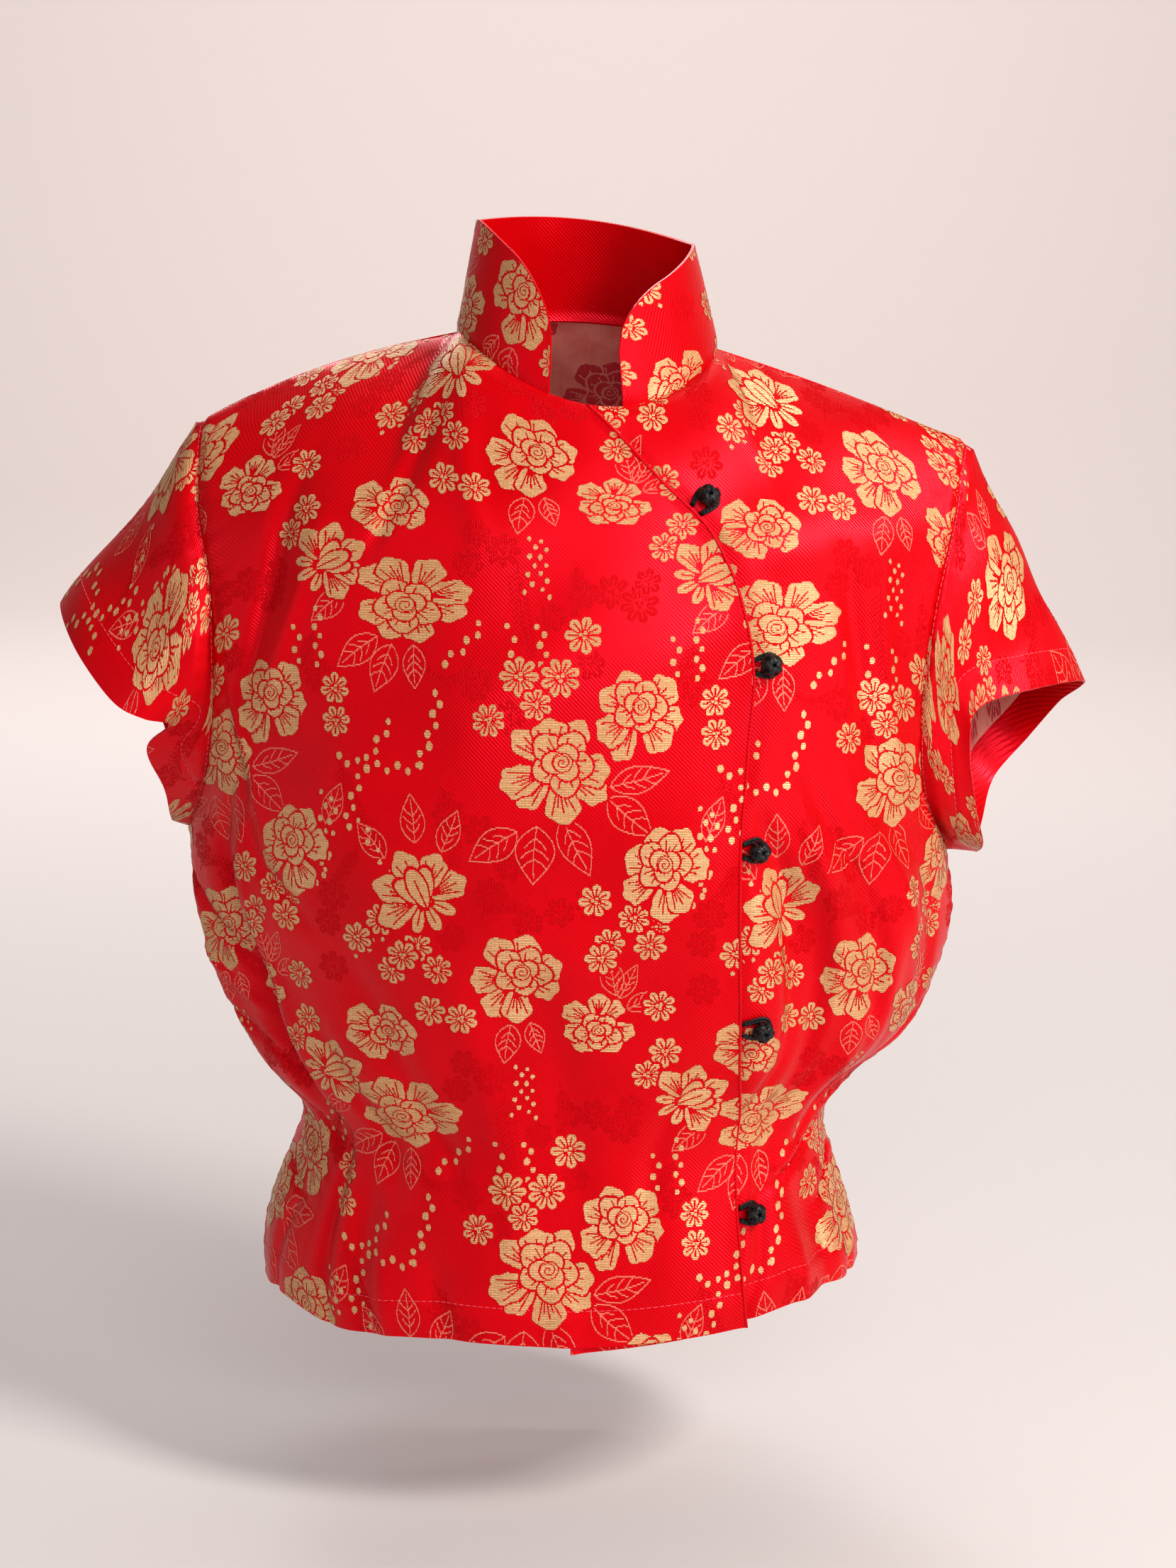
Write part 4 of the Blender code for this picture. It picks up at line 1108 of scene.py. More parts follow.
class Chart:
    """One repeat of the brocade as a weaver's chart, which joins on to itself on all sides."""

    def __init__(self):
        rows = round(REPEAT_DOWN / CELL_DOWN)
        columns = round(REPEAT_ACROSS / CELL_ACROSS)
        self.cells = np.full((rows, columns), GROUND)

    def window(self, x, y, reach):
        """The cells round a place, and how far each lies right of it and above it in millimetres."""
        columns = np.arange(math.floor((x - reach) / CELL_ACROSS), math.ceil((x + reach) / CELL_ACROSS))
        rows = np.arange(math.floor((y - reach) / CELL_DOWN), math.ceil((y + reach) / CELL_DOWN))
        right, down = np.meshgrid((columns + 0.5) * CELL_ACROSS - x, (rows + 0.5) * CELL_DOWN - y)
        place = np.ix_(rows % self.cells.shape[0], columns % self.cells.shape[1])
        return place, right, -down

    def trace(self, x, y, points, code):
        """A fine line of weft along points that are millimetres right of and above a place."""
        points = np.asarray(points, dtype=float)
        steps = np.linalg.norm(np.diff(points, axis=0), axis=1)
        run = np.concatenate([[0.0], np.cumsum(steps)])
        at = np.arange(0.0, run[-1], TRACE_STEP)
        for right_of, above in zip(np.interp(at, run, points[:, 0]), np.interp(at, run, points[:, 1])):
            place, right, up = self.window(x + right_of, y - above, CELL_DOWN)
            patch = self.cells[place]
            patch[(np.abs(right) < LINE_HALF) & (np.abs(up) <= 0.5 * CELL_DOWN)] = code
            self.cells[place] = patch

    def dab(self, x, y, size, code):
        """A woven dot, nearly round."""
        place, right, up = self.window(x, y, size)
        patch = self.cells[place]
        patch[(1.1 * right) ** 2 + (0.9 * up) ** 2 < (0.5 * size) ** 2] = code
        self.cells[place] = patch


# A petal stands on its foot, which is right of and above the flower's middle, and points clockwise from up
Petal = namedtuple("Petal", "right up way length width lobes notches")


def lay_petal(patch, right, up, petal, code, gap=GAP):
    """Lay a petal over what is under it, with a line of ground round it and notches at its foot."""
    way = math.radians(petal.way)
    along = (right - petal.right) * math.sin(way) + (up - petal.up) * math.cos(way)
    across = (right - petal.right) * math.cos(way) - (up - petal.up) * math.sin(way)
    lengthwise = along / (0.5 * petal.length) - 1.0
    flare = 0.86 + 0.26 * np.clip(lengthwise, -1.0, 1.0)
    sideways = across / (0.5 * petal.width * flare)
    wave = 1.0 + 0.065 * np.cos(petal.lobes * np.arctan2(sideways, lengthwise)) * (lengthwise > -0.2)
    outside = (np.hypot(lengthwise, sideways) / wave - 1.0) * 0.5 * min(petal.length, petal.width)
    patch[outside < gap] = GROUND
    patch[outside < 0.0] = code
    for notch in range(petal.notches):
        slope = ((notch + 1.0) / (petal.notches + 1.0) - 0.5) * 1.25 * petal.width / petal.length
        reach = petal.length * (0.76 - 0.16 * (notch % 2))
        cut_out = (np.abs(across - slope * along) < NOTCH_HALF) & (along < reach) & (outside < 0.0)
        patch[cut_out] = GROUND


def flower_window(chart, x, y, width, height, turn):
    """The cells round a flower, in the flower's own directions."""
    size = 0.5 * max(width, height)
    place, right, up = chart.window(x, y, 1.15 * size + 2.0)
    right = right * size / (0.5 * width)
    up = up * size / (0.5 * height)
    turn = math.radians(turn)
    own_right = right * math.cos(turn) - up * math.sin(turn)
    own_up = right * math.sin(turn) + up * math.cos(turn)
    return size, place, own_right, own_up


def ring_petal(way, foot, tip, width, centre, lobes, notches):
    """A petal of a round, from its distances to the round's middle."""
    turn = math.radians(way)
    right = centre[0] + foot * math.sin(turn)
    up = centre[1] + foot * math.cos(turn)
    return Petal(right, up, way, tip - foot, width, lobes, notches)


def chart_rose(chart, flower):
    """A full rose: scalloped outer petals, two rounds of folded petals and a curled heart, set high."""
    size, place, right, up = flower_window(chart, *flower[1:5], flower.turn)
    patch = chart.cells[place]
    variety = flower.variety
    middle = (0.0, 0.0)
    heart = (0.12 * size * math.sin(3.0 * variety), 0.16 * size)
    order = list(range(0, flower.petals, 2)) + list(range(1, flower.petals, 2))
    for k in order:
        way = 360.0 * (k + 0.22 * math.sin(variety + 2.4 * k)) / flower.petals
        tip = size * (0.97 - 0.10 * math.sin(1.7 * variety + 2.1 * k) ** 2)
        width = 2.0 * math.pi * 0.66 * size / flower.petals * (1.10 + 0.12 * math.sin(3.1 * k + variety))
        petal = ring_petal(way, 0.22 * size, tip, width, middle, 5 + k % 3, 4 + k % 2)
        lay_petal(patch, right, up, petal, GOLD)
    for k in range(5):
        way = 72.0 * k + 40.0 * variety
        tip = size * (0.54 + 0.05 * math.sin(2.0 * k + variety))
        petal = ring_petal(way, 0.04 * size, tip, 0.50 * size, heart, 4, 3)
        lay_petal(patch, right, up, petal, GOLD)
    for k in range(3):
        way = 120.0 * k + 62.0 * variety + 30.0
        petal = ring_petal(way, -0.10 * size, 0.31 * size, 0.42 * size, heart, 3, 0)
        lay_petal(patch, right, up, petal, GOLD)
    from_heart_right = right - heart[0]
    from_heart_up = up - heart[1]
    away = np.hypot(from_heart_right, from_heart_up)
    patch[away < 0.155 * size + 0.6 * GAP] = GROUND
    patch[away < 0.155 * size] = GOLD
    pitch = 0.085 * size
    swirl = (away / pitch - np.arctan2(from_heart_up, from_heart_right) / (2.0 * math.pi)) % 1.0
    patch[(swirl < 0.7 / pitch) & (away < 0.155 * size)] = GROUND
    chart.cells[place] = patch


def chart_half_rose(chart, flower):
    """A rose seen from its side: a fan of petals behind a folded cup, on its sepals."""
    size, place, right, up = flower_window(chart, *flower[1:5], flower.turn)
    patch = chart.cells[place]
    foot = (0.0, -0.20 * size)
    for way in (180.0, 140.0, 220.0):
        sepal = ring_petal(way, 0.15 * size, 0.72 * size, 0.26 * size, foot, 0, 1)
        lay_petal(patch, right, up, sepal, GOLD)
    for k, way in enumerate((-92.0, 92.0, -48.0, 48.0, 0.0)):
        tip = size * (1.08 - 0.08 * (k % 2))
        petal = ring_petal(way, 0.14 * size, tip, 0.62 * size, foot, 5 + k % 2, 4 + k % 2)
        lay_petal(patch, right, up, petal, GOLD)
    for k, way in enumerate((-34.0, 34.0, 4.0)):
        petal = ring_petal(way, -0.20 * size, 0.62 * size - 0.06 * k, 0.46 * size, foot, 3, 1)
        lay_petal(patch, right, up, petal, GOLD)
    chart.cells[place] = patch


def chart_blossom(chart, bloom, code, gap=GAP):
    """A small blossom of round petals, each split at its foot, round a dotted heart."""
    size, place, right, up = flower_window(chart, bloom.x, bloom.y, bloom.size, bloom.size, bloom.turn)
    patch = chart.cells[place]
    for k in range(bloom.petals):
        way = 360.0 * k / bloom.petals
        width = 2.0 * math.pi * 0.64 * size / bloom.petals * 0.98
        petal = ring_petal(way, 0.26 * size, size, width, (0.0, 0.0), 0, 1)
        lay_petal(patch, right, up, petal, code, gap)
    for k in range(3):
        turn = 2.0 * math.pi * k / 3.0 + 0.5
        near = np.hypot(right - 0.15 * size * math.sin(turn), up - 0.15 * size * math.cos(turn))
        patch[near < 0.11 * size] = code
    chart.cells[place] = patch


def turned(points, degrees):
    """Points turned clockwise."""
    turn = math.radians(degrees)
    matrix = np.array([[math.cos(turn), -math.sin(turn)], [math.sin(turn), math.cos(turn)]])
    return np.asarray(points, dtype=float) @ matrix


def chart_leaf(chart, blade):
    """A leaf drawn in outline, with its midrib and side veins."""
    share = np.linspace(0.0, 1.0, 25)
    bow = 0.5 * blade.width * np.sin(math.pi * share**0.8)
    lines = [np.stack([side * bow, blade.length * share], axis=-1) for side in (-1.0, 1.0)]
    lines.append([(0.0, 0.0), (0.04 * blade.width, 0.5 * blade.length), (0.0, 0.88 * blade.length)])
    for at in (0.20, 0.38, 0.56):
        for side in (-1.0, 1.0):
            reach = side * 0.36 * blade.width * math.sin(math.pi * at**0.8)
            start = (0.0, blade.length * at)
            bend = (0.6 * reach, blade.length * (at + 0.08))
            lines.append([start, bend, (reach, blade.length * (at + 0.18))])
    for line in lines:
        chart.trace(blade.x, blade.y, turned(line, blade.turn), LINES)


def spray_run(spray, count):
    """Points along a curved spray, millimetres right of and above its start, and the way it heads at each."""
    share = (np.arange(count) + 0.5) / count
    heading = np.radians(spray.turn + spray.curl * share)
    step = spray.length / count
    return np.cumsum(np.stack([np.sin(heading), np.cos(heading)], axis=-1) * step, axis=0), heading


def chart_frond(chart, spray):
    """A fern frond of short strokes along a stem that curls at its tip."""
    stem, heading = spray_run(spray, 20)
    chart.trace(spray.x, spray.y, stem, TONE)
    for k in range(2, 19):
        for side in (-1.0, 1.0):
            turn = heading[k] + side * math.radians(50.0)
            stroke = 0.13 * spray.length * (1.0 - 0.5 * k / 19.0)
            tip = stem[k] + stroke * np.array([math.sin(turn), math.cos(turn)])
            chart.trace(spray.x, spray.y, [stem[k], tip], TONE)


def chart_dots(chart, spray):
    """Woven dots along a curved spray, alternately to each side."""
    run, heading = spray_run(spray, spray.dots)
    side = np.where(np.arange(spray.dots) % 2 == 0, 1.0, -1.0)
    for k, (right, up) in enumerate(run):
        right = right + 1.5 * side[k] * math.cos(heading[k])
        up = up - 1.5 * side[k] * math.sin(heading[k])
        chart.dab(spray.x + right, spray.y - up, spray.size * (0.88 + 0.12 * (k % 3)), GOLD)


# One repeat of the brocade. Places are millimetres right of and below the first rose.
Flower = namedtuple("Flower", "kind x y width height petals turn variety")
FLOWERS = (
    Flower("rose", 0, 0, 53, 54, 7, 12, 0.3),
    Flower("rose", 43, 25, 42, 38, 7, 200, 1.4),
    Flower("rose", -74, 38, 46, 39, 6, 70, 2.2),
    Flower("half", -104, 68, 46, 40, 0, 60, 0.8),
    Flower("rose", -60, 86, 68, 50, 8, 205, 3.1),
    Flower("rose", 59, 141, 50, 53, 7, -10, 4.4),
    Flower("rose", 18, 170, 62, 60, 8, 35, 5.2),
    Flower("rose", 75, 223, 49, 56, 7, -20, 0.9),
    Flower("half", -52, 238, 50, 52, 0, -30, 2.7),
)
Blossom = namedtuple("Blossom", "x y size petals turn")
BLOSSOMS = (
    Blossom(-52, -15, 16, 7, 0),
    Blossom(-66, 0, 16, 7, 20),
    Blossom(-41, -3, 16, 8, 10),
    Blossom(-45, 21, 17, 7, 30),
    Blossom(-28, 24, 17, 7, 5),
    Blossom(75, 14, 17, 8, 15),
    Blossom(79, 40, 17, 7, 25),
    Blossom(70, 53, 16, 8, 0),
    Blossom(92, 58, 15, 6, 10),
    Blossom(48, -22, 16, 7, 35),
    Blossom(71, -31, 15, 8, 0),
    Blossom(30, 101, 19, 7, 12),
    Blossom(-2, 123, 20, 8, 0),
    Blossom(19, 123, 20, 8, 22),
    Blossom(7, 137, 16, 7, 8),
    Blossom(-17, 146, 17, 8, 18),
    Blossom(-101, 134, 16, 7, 0),
    Blossom(-100, 151, 16, 7, 28),
    Blossom(40, 239, 17, 7, 6),
    Blossom(60, 248, 16, 8, 16),
    Blossom(69, 263, 17, 7, 0),
    Blossom(44, 271, 17, 7, 14),
    Blossom(-72, 256, 17, 8, 24),
    Blossom(-86, 268, 17, 7, 4),
    Blossom(-60, 275, 17, 7, 34),
)
Leaf = namedtuple("Leaf", "x y length width turn")
LEAVES = (
    Leaf(52, 8, 24, 12, -12),
    Leaf(54, 10, 22, 9, 24),
    Leaf(58, 16, 20, 10, 62),
    Leaf(-2, 27, 22, 13, 188),
    Leaf(8, 26, 18, 10, 160),
    Leaf(-94, 60, 22, 12, 262),
    Leaf(-96, 84, 24, 13, 230),
    Leaf(-78, 106, 27, 14, 232),
    Leaf(-70, 110, 26, 15, 200),
    Leaf(-58, 110, 22, 12, 176),
    Leaf(-1, 203, 30, 17, 234),
    Leaf(9, 200, 31, 20, 182),
    Leaf(22, 195, 34, 16, 154),
    Leaf(45, 184, 30, 17, 130),
    Leaf(46, 178, 31, 14, 74),
    Leaf(96, 206, 24, 12, 20),
    Leaf(-70, 222, 24, 13, 320),
    Leaf(-40, 216, 24, 12, 20),
    Leaf(-54, 212, 26, 13, -8),
)
Spray = namedtuple("Spray", "x y length turn curl dots size")
DOT_SPRAYS = (
    Spray(2, 46, 34, 172, 20, 7, 2.6),
    Spray(9, 48, 34, 186, -18, 8, 2.4),
    Spray(-20, 92, 34, 200, 40, 6, 3.4),
    Spray(-8, 90, 36, 178, -20, 5, 3.2),
    Spray(6, 92, 30, 160, 25, 6, 3.4),
    Spray(-44, 128, 44, 178, 30, 8, 3.8),
    Spray(-66, 146, 66, 218, -30, 12, 3.4),
    Spray(-48, 172, 50, 262, 20, 9, 3.4),
    Spray(90, 88, 34, 186, -14, 7, 3.2),
    Spray(76, 96, 30, 168, 24, 5, 3.2),
    Spray(-100, 186, 56, 176, 26, 9, 3.2),
    Spray(-86, 196, 44, 160, -22, 7, 2.8),
    Spray(-60, -34, 40, 210, 30, 8, 2.6),
    Spray(94, 182, 50, 182, -12, 7, 3.0),
)
FRONDS = (
    Spray(-4, 60, 58, 182, -24, 0, 0.8),
    Spray(-26, 112, 46, 172, 190, 0, 0.8),
    Spray(88, 100, 44, 190, 36, 0, 0.8),
    Spray(-44, 176, 56, 150, 40, 0, 0.8),
    Spray(-98, 168, 52, 170, -40, 0, 0.8),
    Spray(24, 60, 40, 165, 30, 0, 0.8),
    Spray(-20, -30, 44, 20, 160, 0, 0.8),
    Spray(-84, 214, 44, 200, 30, 0, 0.8),
)
TONE_BLOSSOMS = (
    Blossom(38, -44, 18, 7, 0),
    Blossom(22, -38, 16, 7, 10),
    Blossom(-12, 58, 18, 8, 0),
    Blossom(-26, 50, 16, 7, 20),
    Blossom(-30, 66, 16, 7, 0),
    Blossom(44, 78, 18, 8, 6),
    Blossom(58, 84, 20, 8, 30),
    Blossom(30, 80, 15, 7, 0),
    Blossom(62, 72, 14, 6, 10),
    Blossom(14, 92, 15, 7, 0),
    Blossom(-24, 128, 18, 8, 12),
    Blossom(-6, 144, 18, 8, 0),
    Blossom(34, 116, 15, 6, 18),
    Blossom(-36, 196, 18, 8, 0),
    Blossom(-20, 204, 18, 7, 24),
    Blossom(-4, 222, 16, 7, 6),
    Blossom(-14, 238, 18, 8, 0),
    Blossom(6, 252, 16, 7, 15),
    Blossom(100, 246, 18, 8, 0),
    Blossom(96, 262, 16, 7, 10),
    Blossom(-34, -22, 16, 7, 0),
    Blossom(90, 128, 18, 8, 20),
    Blossom(98, 4, 18, 7, 0),
)


def brocade_repeat():
    """The chart of one repeat of the woven pattern."""
    chart = Chart()
    for spray in FRONDS:
        chart_frond(chart, spray)
    for bloom in TONE_BLOSSOMS:
        chart_blossom(chart, bloom, TONE, 0.6)
    for blade in LEAVES:
        chart_leaf(chart, blade)
    for spray in DOT_SPRAYS:
        chart_dots(chart, spray)
    for bloom in BLOSSOMS:
        chart_blossom(chart, bloom, GOLD)
    for flower in FLOWERS:
        if flower.kind == "rose":
            chart_rose(chart, flower)
        else:
            chart_half_rose(chart, flower)
    return chart


def floats(chart, code):
    """The floats of one weft in a repeat: the row of each, and where it starts and ends, in millimetres."""
    wanted = np.pad(chart.cells == code, ((0, 0), (1, 1))).astype(int)
    change = np.diff(wanted, axis=1)
    rows, starts = np.nonzero(change == 1)
    ends = np.nonzero(change == -1)[1]
    return split_floats(rows * CELL_DOWN, starts * CELL_ACROSS, ends * CELL_ACROSS, FLOAT_PIECE)


def split_floats(downs, starts, ends, longest):
    """Floats cut into pieces no longer than a given length, so that they follow the cloth."""
    counts = np.maximum(np.ceil((ends - starts) / longest), 1).astype(int)
    which = np.repeat(np.arange(len(counts)), counts)
    first = np.concatenate([[0], np.cumsum(counts)[:-1]])
    step = np.arange(len(which)) - first[which]
    width = (ends - starts)[which] / counts[which]
    begin = starts[which] + step * width
    return downs[which], begin, begin + width


# Where the first rose lies on each piece's flat cloth, in millimetres
Cut = namedtuple("Cut", "across up")
CUTS = {
    "right_front": Cut(-27.0, 232.0),
    "left_front": Cut(-33.0, 226.0),
    "back": Cut(10.0, 240.0),
    "right_sleeve": Cut(40.0, -20.0),
    "left_sleeve": Cut(-30.0, 60.0),
    "collar": Cut(60.0, 40.0),
}


def float_corners(downs, starts, ends):
    """The four flat corners of each float."""
    lower = downs - CELL_DOWN
    left = np.stack([starts, lower], axis=-1), np.stack([starts, downs], axis=-1)
    right = np.stack([ends, downs], axis=-1), np.stack([ends, lower], axis=-1)
    return np.stack([*left, *right], axis=1)


def weave(cloth, flat_cloth, repeat, place, name, material, lift):
    """Carry one weft of the brocade to where a cloth piece hangs, as floats that stand a little proud."""
    low = cloth.flat.reshape(-1, 2).min(axis=0)
    high = cloth.flat.reshape(-1, 2).max(axis=0)
    downs, starts, ends = repeat
    tiles = []
    first_across = math.floor((low[0] - place.across) / REPEAT_ACROSS)
    last_across = math.floor((high[0] - place.across) / REPEAT_ACROSS)
    first_down = math.floor((place.up - high[1]) / REPEAT_DOWN)
    last_down = math.floor((place.up - low[1]) / REPEAT_DOWN)
    for across in range(first_across, last_across + 1):
        for down in range(first_down, last_down + 1):
            shift = place.across + across * REPEAT_ACROSS
            level = place.up - down * REPEAT_DOWN
            tiles.append(np.stack([level - downs, starts + shift, ends + shift], axis=-1))
    rows = np.vstack(tiles)
    level_with = (rows[:, 0] > low[1]) & (rows[:, 0] - CELL_DOWN < high[1])
    beside = (rows[:, 2] > low[0]) & (rows[:, 1] < high[0])
    rows = rows[level_with & beside]
    corners = float_corners(*rows.T)
    points, normals, inside = flat_cloth.carry(corners.reshape(-1, 2))
    whole = inside.reshape(-1, 4).all(axis=1)
    partly = inside.reshape(-1, 4).any(axis=1) & ~whole
    edge_corners = float_corners(*split_floats(*rows[partly].T, EDGE_PIECE))
    edge_points, edge_normals, edge_inside = flat_cloth.carry(edge_corners.reshape(-1, 2))
    edge_whole = edge_inside.reshape(-1, 4).all(axis=1)
    points = np.vstack([points.reshape(-1, 4, 3)[whole], edge_points.reshape(-1, 4, 3)[edge_whole]])
    normals = np.vstack([normals.reshape(-1, 4, 3)[whole], edge_normals.reshape(-1, 4, 3)[edge_whole]])
    flat = np.vstack([corners[whole], edge_corners[edge_whole]])
    facing = np.cross(points[:, 2] - points[:, 0], points[:, 3] - points[:, 1])
    backward = np.sum(facing * normals[:, 0], axis=1) < 0.0
    points[backward] = points[backward][:, ::-1]
    normals[backward] = normals[backward][:, ::-1]
    flat[backward] = flat[backward][:, ::-1]
    normals = normals.reshape(-1, 3)
    points = points.reshape(-1, 3) + lift * normals
    faces = np.arange(len(points)).reshape(-1, 4)
    woven_weft = link_mesh(name, points, faces, (material,), None, flat.reshape(-1, 2))
    woven_weft.data.normals_split_custom_set_from_vertices(normals.tolist())
    return woven_weft


def tube(points, radius, sides, closed=False):
    """A round cord along points, with its faces, and its run in millimetres as flat places."""
    points = np.asarray(points, dtype=float)
    if closed:
        heading = np.roll(points, -1, axis=0) - np.roll(points, 1, axis=0)
    else:
        heading = np.gradient(points, axis=0)
    heading = heading / np.linalg.norm(heading, axis=1)[:, None]
    side = np.cross(heading[0], (0.31, 0.47, 0.83))
    frames = []
    for direction in heading:
        side = side - direction * (side @ direction)
        side = side / np.linalg.norm(side)
        frames.append((side, np.cross(direction, side)))
    angles = 2.0 * math.pi * np.arange(sides) / sides
    rings = np.array(
        [
            point + radius * (np.cos(angles)[:, None] * one + np.sin(angles)[:, None] * two)
            for point, (one, two) in zip(points, frames)
        ]
    )
    count = len(points)
    number = np.arange(count * sides).reshape(count, sides)
    if closed:
        number = np.vstack([number, number[:1]])
    following = np.roll(number, -1, axis=1)
    quads = np.stack([number[:-1], following[:-1], following[1:], number[1:]], axis=-1).reshape(-1, 4)
    faces = [tuple(quad) for quad in quads]
    if not closed:
        faces.append(tuple(number[0][::-1]))
        faces.append(tuple(number[-1]))
    steps = np.linalg.norm(np.diff(points, axis=0), axis=1)
    run = np.concatenate([[0.0], np.cumsum(steps)])
    flat = np.stack(
        [
            np.repeat(run, sides),
            np.tile(radius * angles, count),
        ],
        axis=-1,
    )
    return rings.reshape(-1, 3), faces, flat / MILLIMETRE


def joined(tubes):
    """Several tubes as one set of points, faces and flat places."""
    points, faces, flats = [], [], []
    count = 0
    for tube_points, tube_faces, tube_flat in tubes:
        points.append(tube_points)
        faces += [tuple(int(corner) + count for corner in face) for face in tube_faces]
        flats.append(tube_flat)
        count += len(tube_points)
    return np.vstack(points), faces, np.vstack(flats)


def stitch_line(line, normals):
    """Topstitching along a line on the cloth: short tubes that dip in at both ends."""
    steps = np.linalg.norm(np.diff(line, axis=0), axis=1)
    run = np.concatenate([[0.0], np.cumsum(steps)])
    tubes = []
    for start in np.arange(0.5 * STITCH_PITCH, run[-1] - STITCH_PITCH, STITCH_PITCH):
        at = start + np.array([0.0, 0.2, 0.5, 0.8, 1.0]) * STITCH_LENGTH
        height = np.array([-0.3, 0.75, 1.0, 0.75, -0.3]) * STITCH_RADIUS
        place = np.stack([np.interp(at, run, line[:, axis]) for axis in range(3)], axis=-1)
        up = np.stack([np.interp(at, run, normals[:, axis]) for axis in range(3)], axis=-1)
        tubes.append(tube(place + up * height[:, None], STITCH_RADIUS, 6))
    return joined(tubes)


def stitched_line(cloth, depth, from_seam=False):
    """The line at a depth from a hem, cuff or armhole seam, and the way out of the cloth along it."""
    normals = grid_normals(cloth.points, cloth.facing, cloth.closed)
    lengths = column_lengths(cloth.points)
    upside_down = cloth.closed and not from_seam
    from_edge = lengths[-1:] - lengths if upside_down else lengths
    order = slice(None, None, -1) if upside_down else slice(None)
    line = []
    ups = []
    for column in range(cloth.points.shape[1]):
        reach = from_edge[order, column]
        points = cloth.points[order, column]
        ways = normals[order, column]
        line.append([np.interp(depth, reach, points[:, axis]) for axis in range(3)])
        ups.append([np.interp(depth, reach, ways[:, axis]) for axis in range(3)])
    return np.array(line), np.array(ups)


def rolled_edge(cloth, satin):
    """The lapped edge, where the cloth is folded under and stands a little thicker."""
    normals = grid_normals(cloth.points, cloth.facing, cloth.closed)[:, -1]
    route = cloth.points[:, -1] - normals * (0.5 * CLOTH_WALL)
    points, faces, flat = joined([tube(route, EDGE_BEAD, 8)])
    return link_mesh(f"{cloth.name}_rolled_edge", points, faces, (satin,), None, flat)


def cloth_point(x, z):
    """The point of the front's outer face at a given place in the front view."""
    angle = np.array([math.degrees(math.asin(x / TORSO_HALF_WIDTH))])
    height = np.array([z])
    for _ in range(PLACING_STEPS):
        point = torso("front", angle, height)[0]
        angle = angle + ANGLE_PER_METRE * (x - point[0])
        height = height + HEIGHT_PER_METRE * (z - point[2])
    return point


def knot_frame(knot):
    """Where a knot stands on the left front: its seat, and the directions out, along and past the edge."""
    edge_x = float(table_curve(LAP_EDGE, [knot.z])[0])
    above_x = float(table_curve(LAP_EDGE, [knot.z + REACH])[0])
    along = np.array([above_x - edge_x, 0.0, REACH])
    along = along / np.linalg.norm(along)
    past = np.array([along[2], 0.0, -along[0]])
    place = np.array([edge_x, 0.0, knot.z]) + past * knot.past_edge
    seat = cloth_point(place[0], place[2])
    up = cloth_point(place[0], place[2] + REACH) - seat
    right = cloth_point(place[0] + REACH, place[2]) - seat
    out = np.cross(right, up)
    out = out / np.linalg.norm(out)
    past = past - out * (past @ out)
    past = past / np.linalg.norm(past)
    return seat, out, np.cross(out, past), past


KNOT_CORD = 0.00150
KNOT_SWELL = 0.0004
KNOT_POINTS = 132
KNOT_OVER_UNDER = 0.0005
CORE_RADIUS = 0.0034
CORE_CORD = 0.0013
CORE_TURNS = 4.0
CORE_POINTS = 60
LOOP_CORD = 0.00085
LOOP_TUCK = 0.0012
LOOP_SEARCH = 0.020
LOOP_POINTS = 40
LoopStrand = namedtuple("LoopStrand", "radius rise")
LOOP_STRANDS = (LoopStrand(0.0046, 0.0016), LoopStrand(0.0061, 0.0012))


def knot_ball(number, knot, cord, skin):
    """A knot button: cord woven over and under itself into a ball, round a wound core."""
    seat, out, along, past = knot_frame(knot)
    seat = np.array(skin.ray_cast(seat + out * LOOP_SEARCH, -out)[0])
    centre = seat + out * (KNOT_RADIUS + KNOT_SEAT)
    turn = 2.0 * math.pi * np.arange(KNOT_POINTS) / KNOT_POINTS
    radius = KNOT_RADIUS + KNOT_SWELL - KNOT_CORD + KNOT_OVER_UNDER * np.cos(10.0 * turn)
    latitude = 0.95 * np.sin(5.0 * turn)
    longitude = 3.0 * turn + 0.4 * number
    level = radius * np.cos(latitude)
    route = (
        centre
        + (level * np.cos(longitude))[:, None] * along
        + (level * np.sin(longitude))[:, None] * past
        + (radius * np.sin(latitude))[:, None] * out
    )
    core_turn = np.linspace(0.0, 2.0 * math.pi * CORE_TURNS, CORE_POINTS)
    core_height = np.linspace(-0.8, 0.8, CORE_POINTS)
    core_reach = CORE_RADIUS * np.sqrt(1.0 - core_height**2)
    core = (
        centre
        + (core_reach * np.cos(core_turn))[:, None] * along
        + (core_reach * np.sin(core_turn))[:, None] * past
        + (CORE_RADIUS * core_height)[:, None] * out
    )
    points, faces, flat = joined([tube(route, KNOT_CORD, 10, True), tube(core, CORE_CORD, 8)])
    ball = link_mesh(f"knot_{number}_cord", points, faces, (cord,), None, flat)
    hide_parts(f"knot_{number}")
    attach(ball, "root")
    return ball


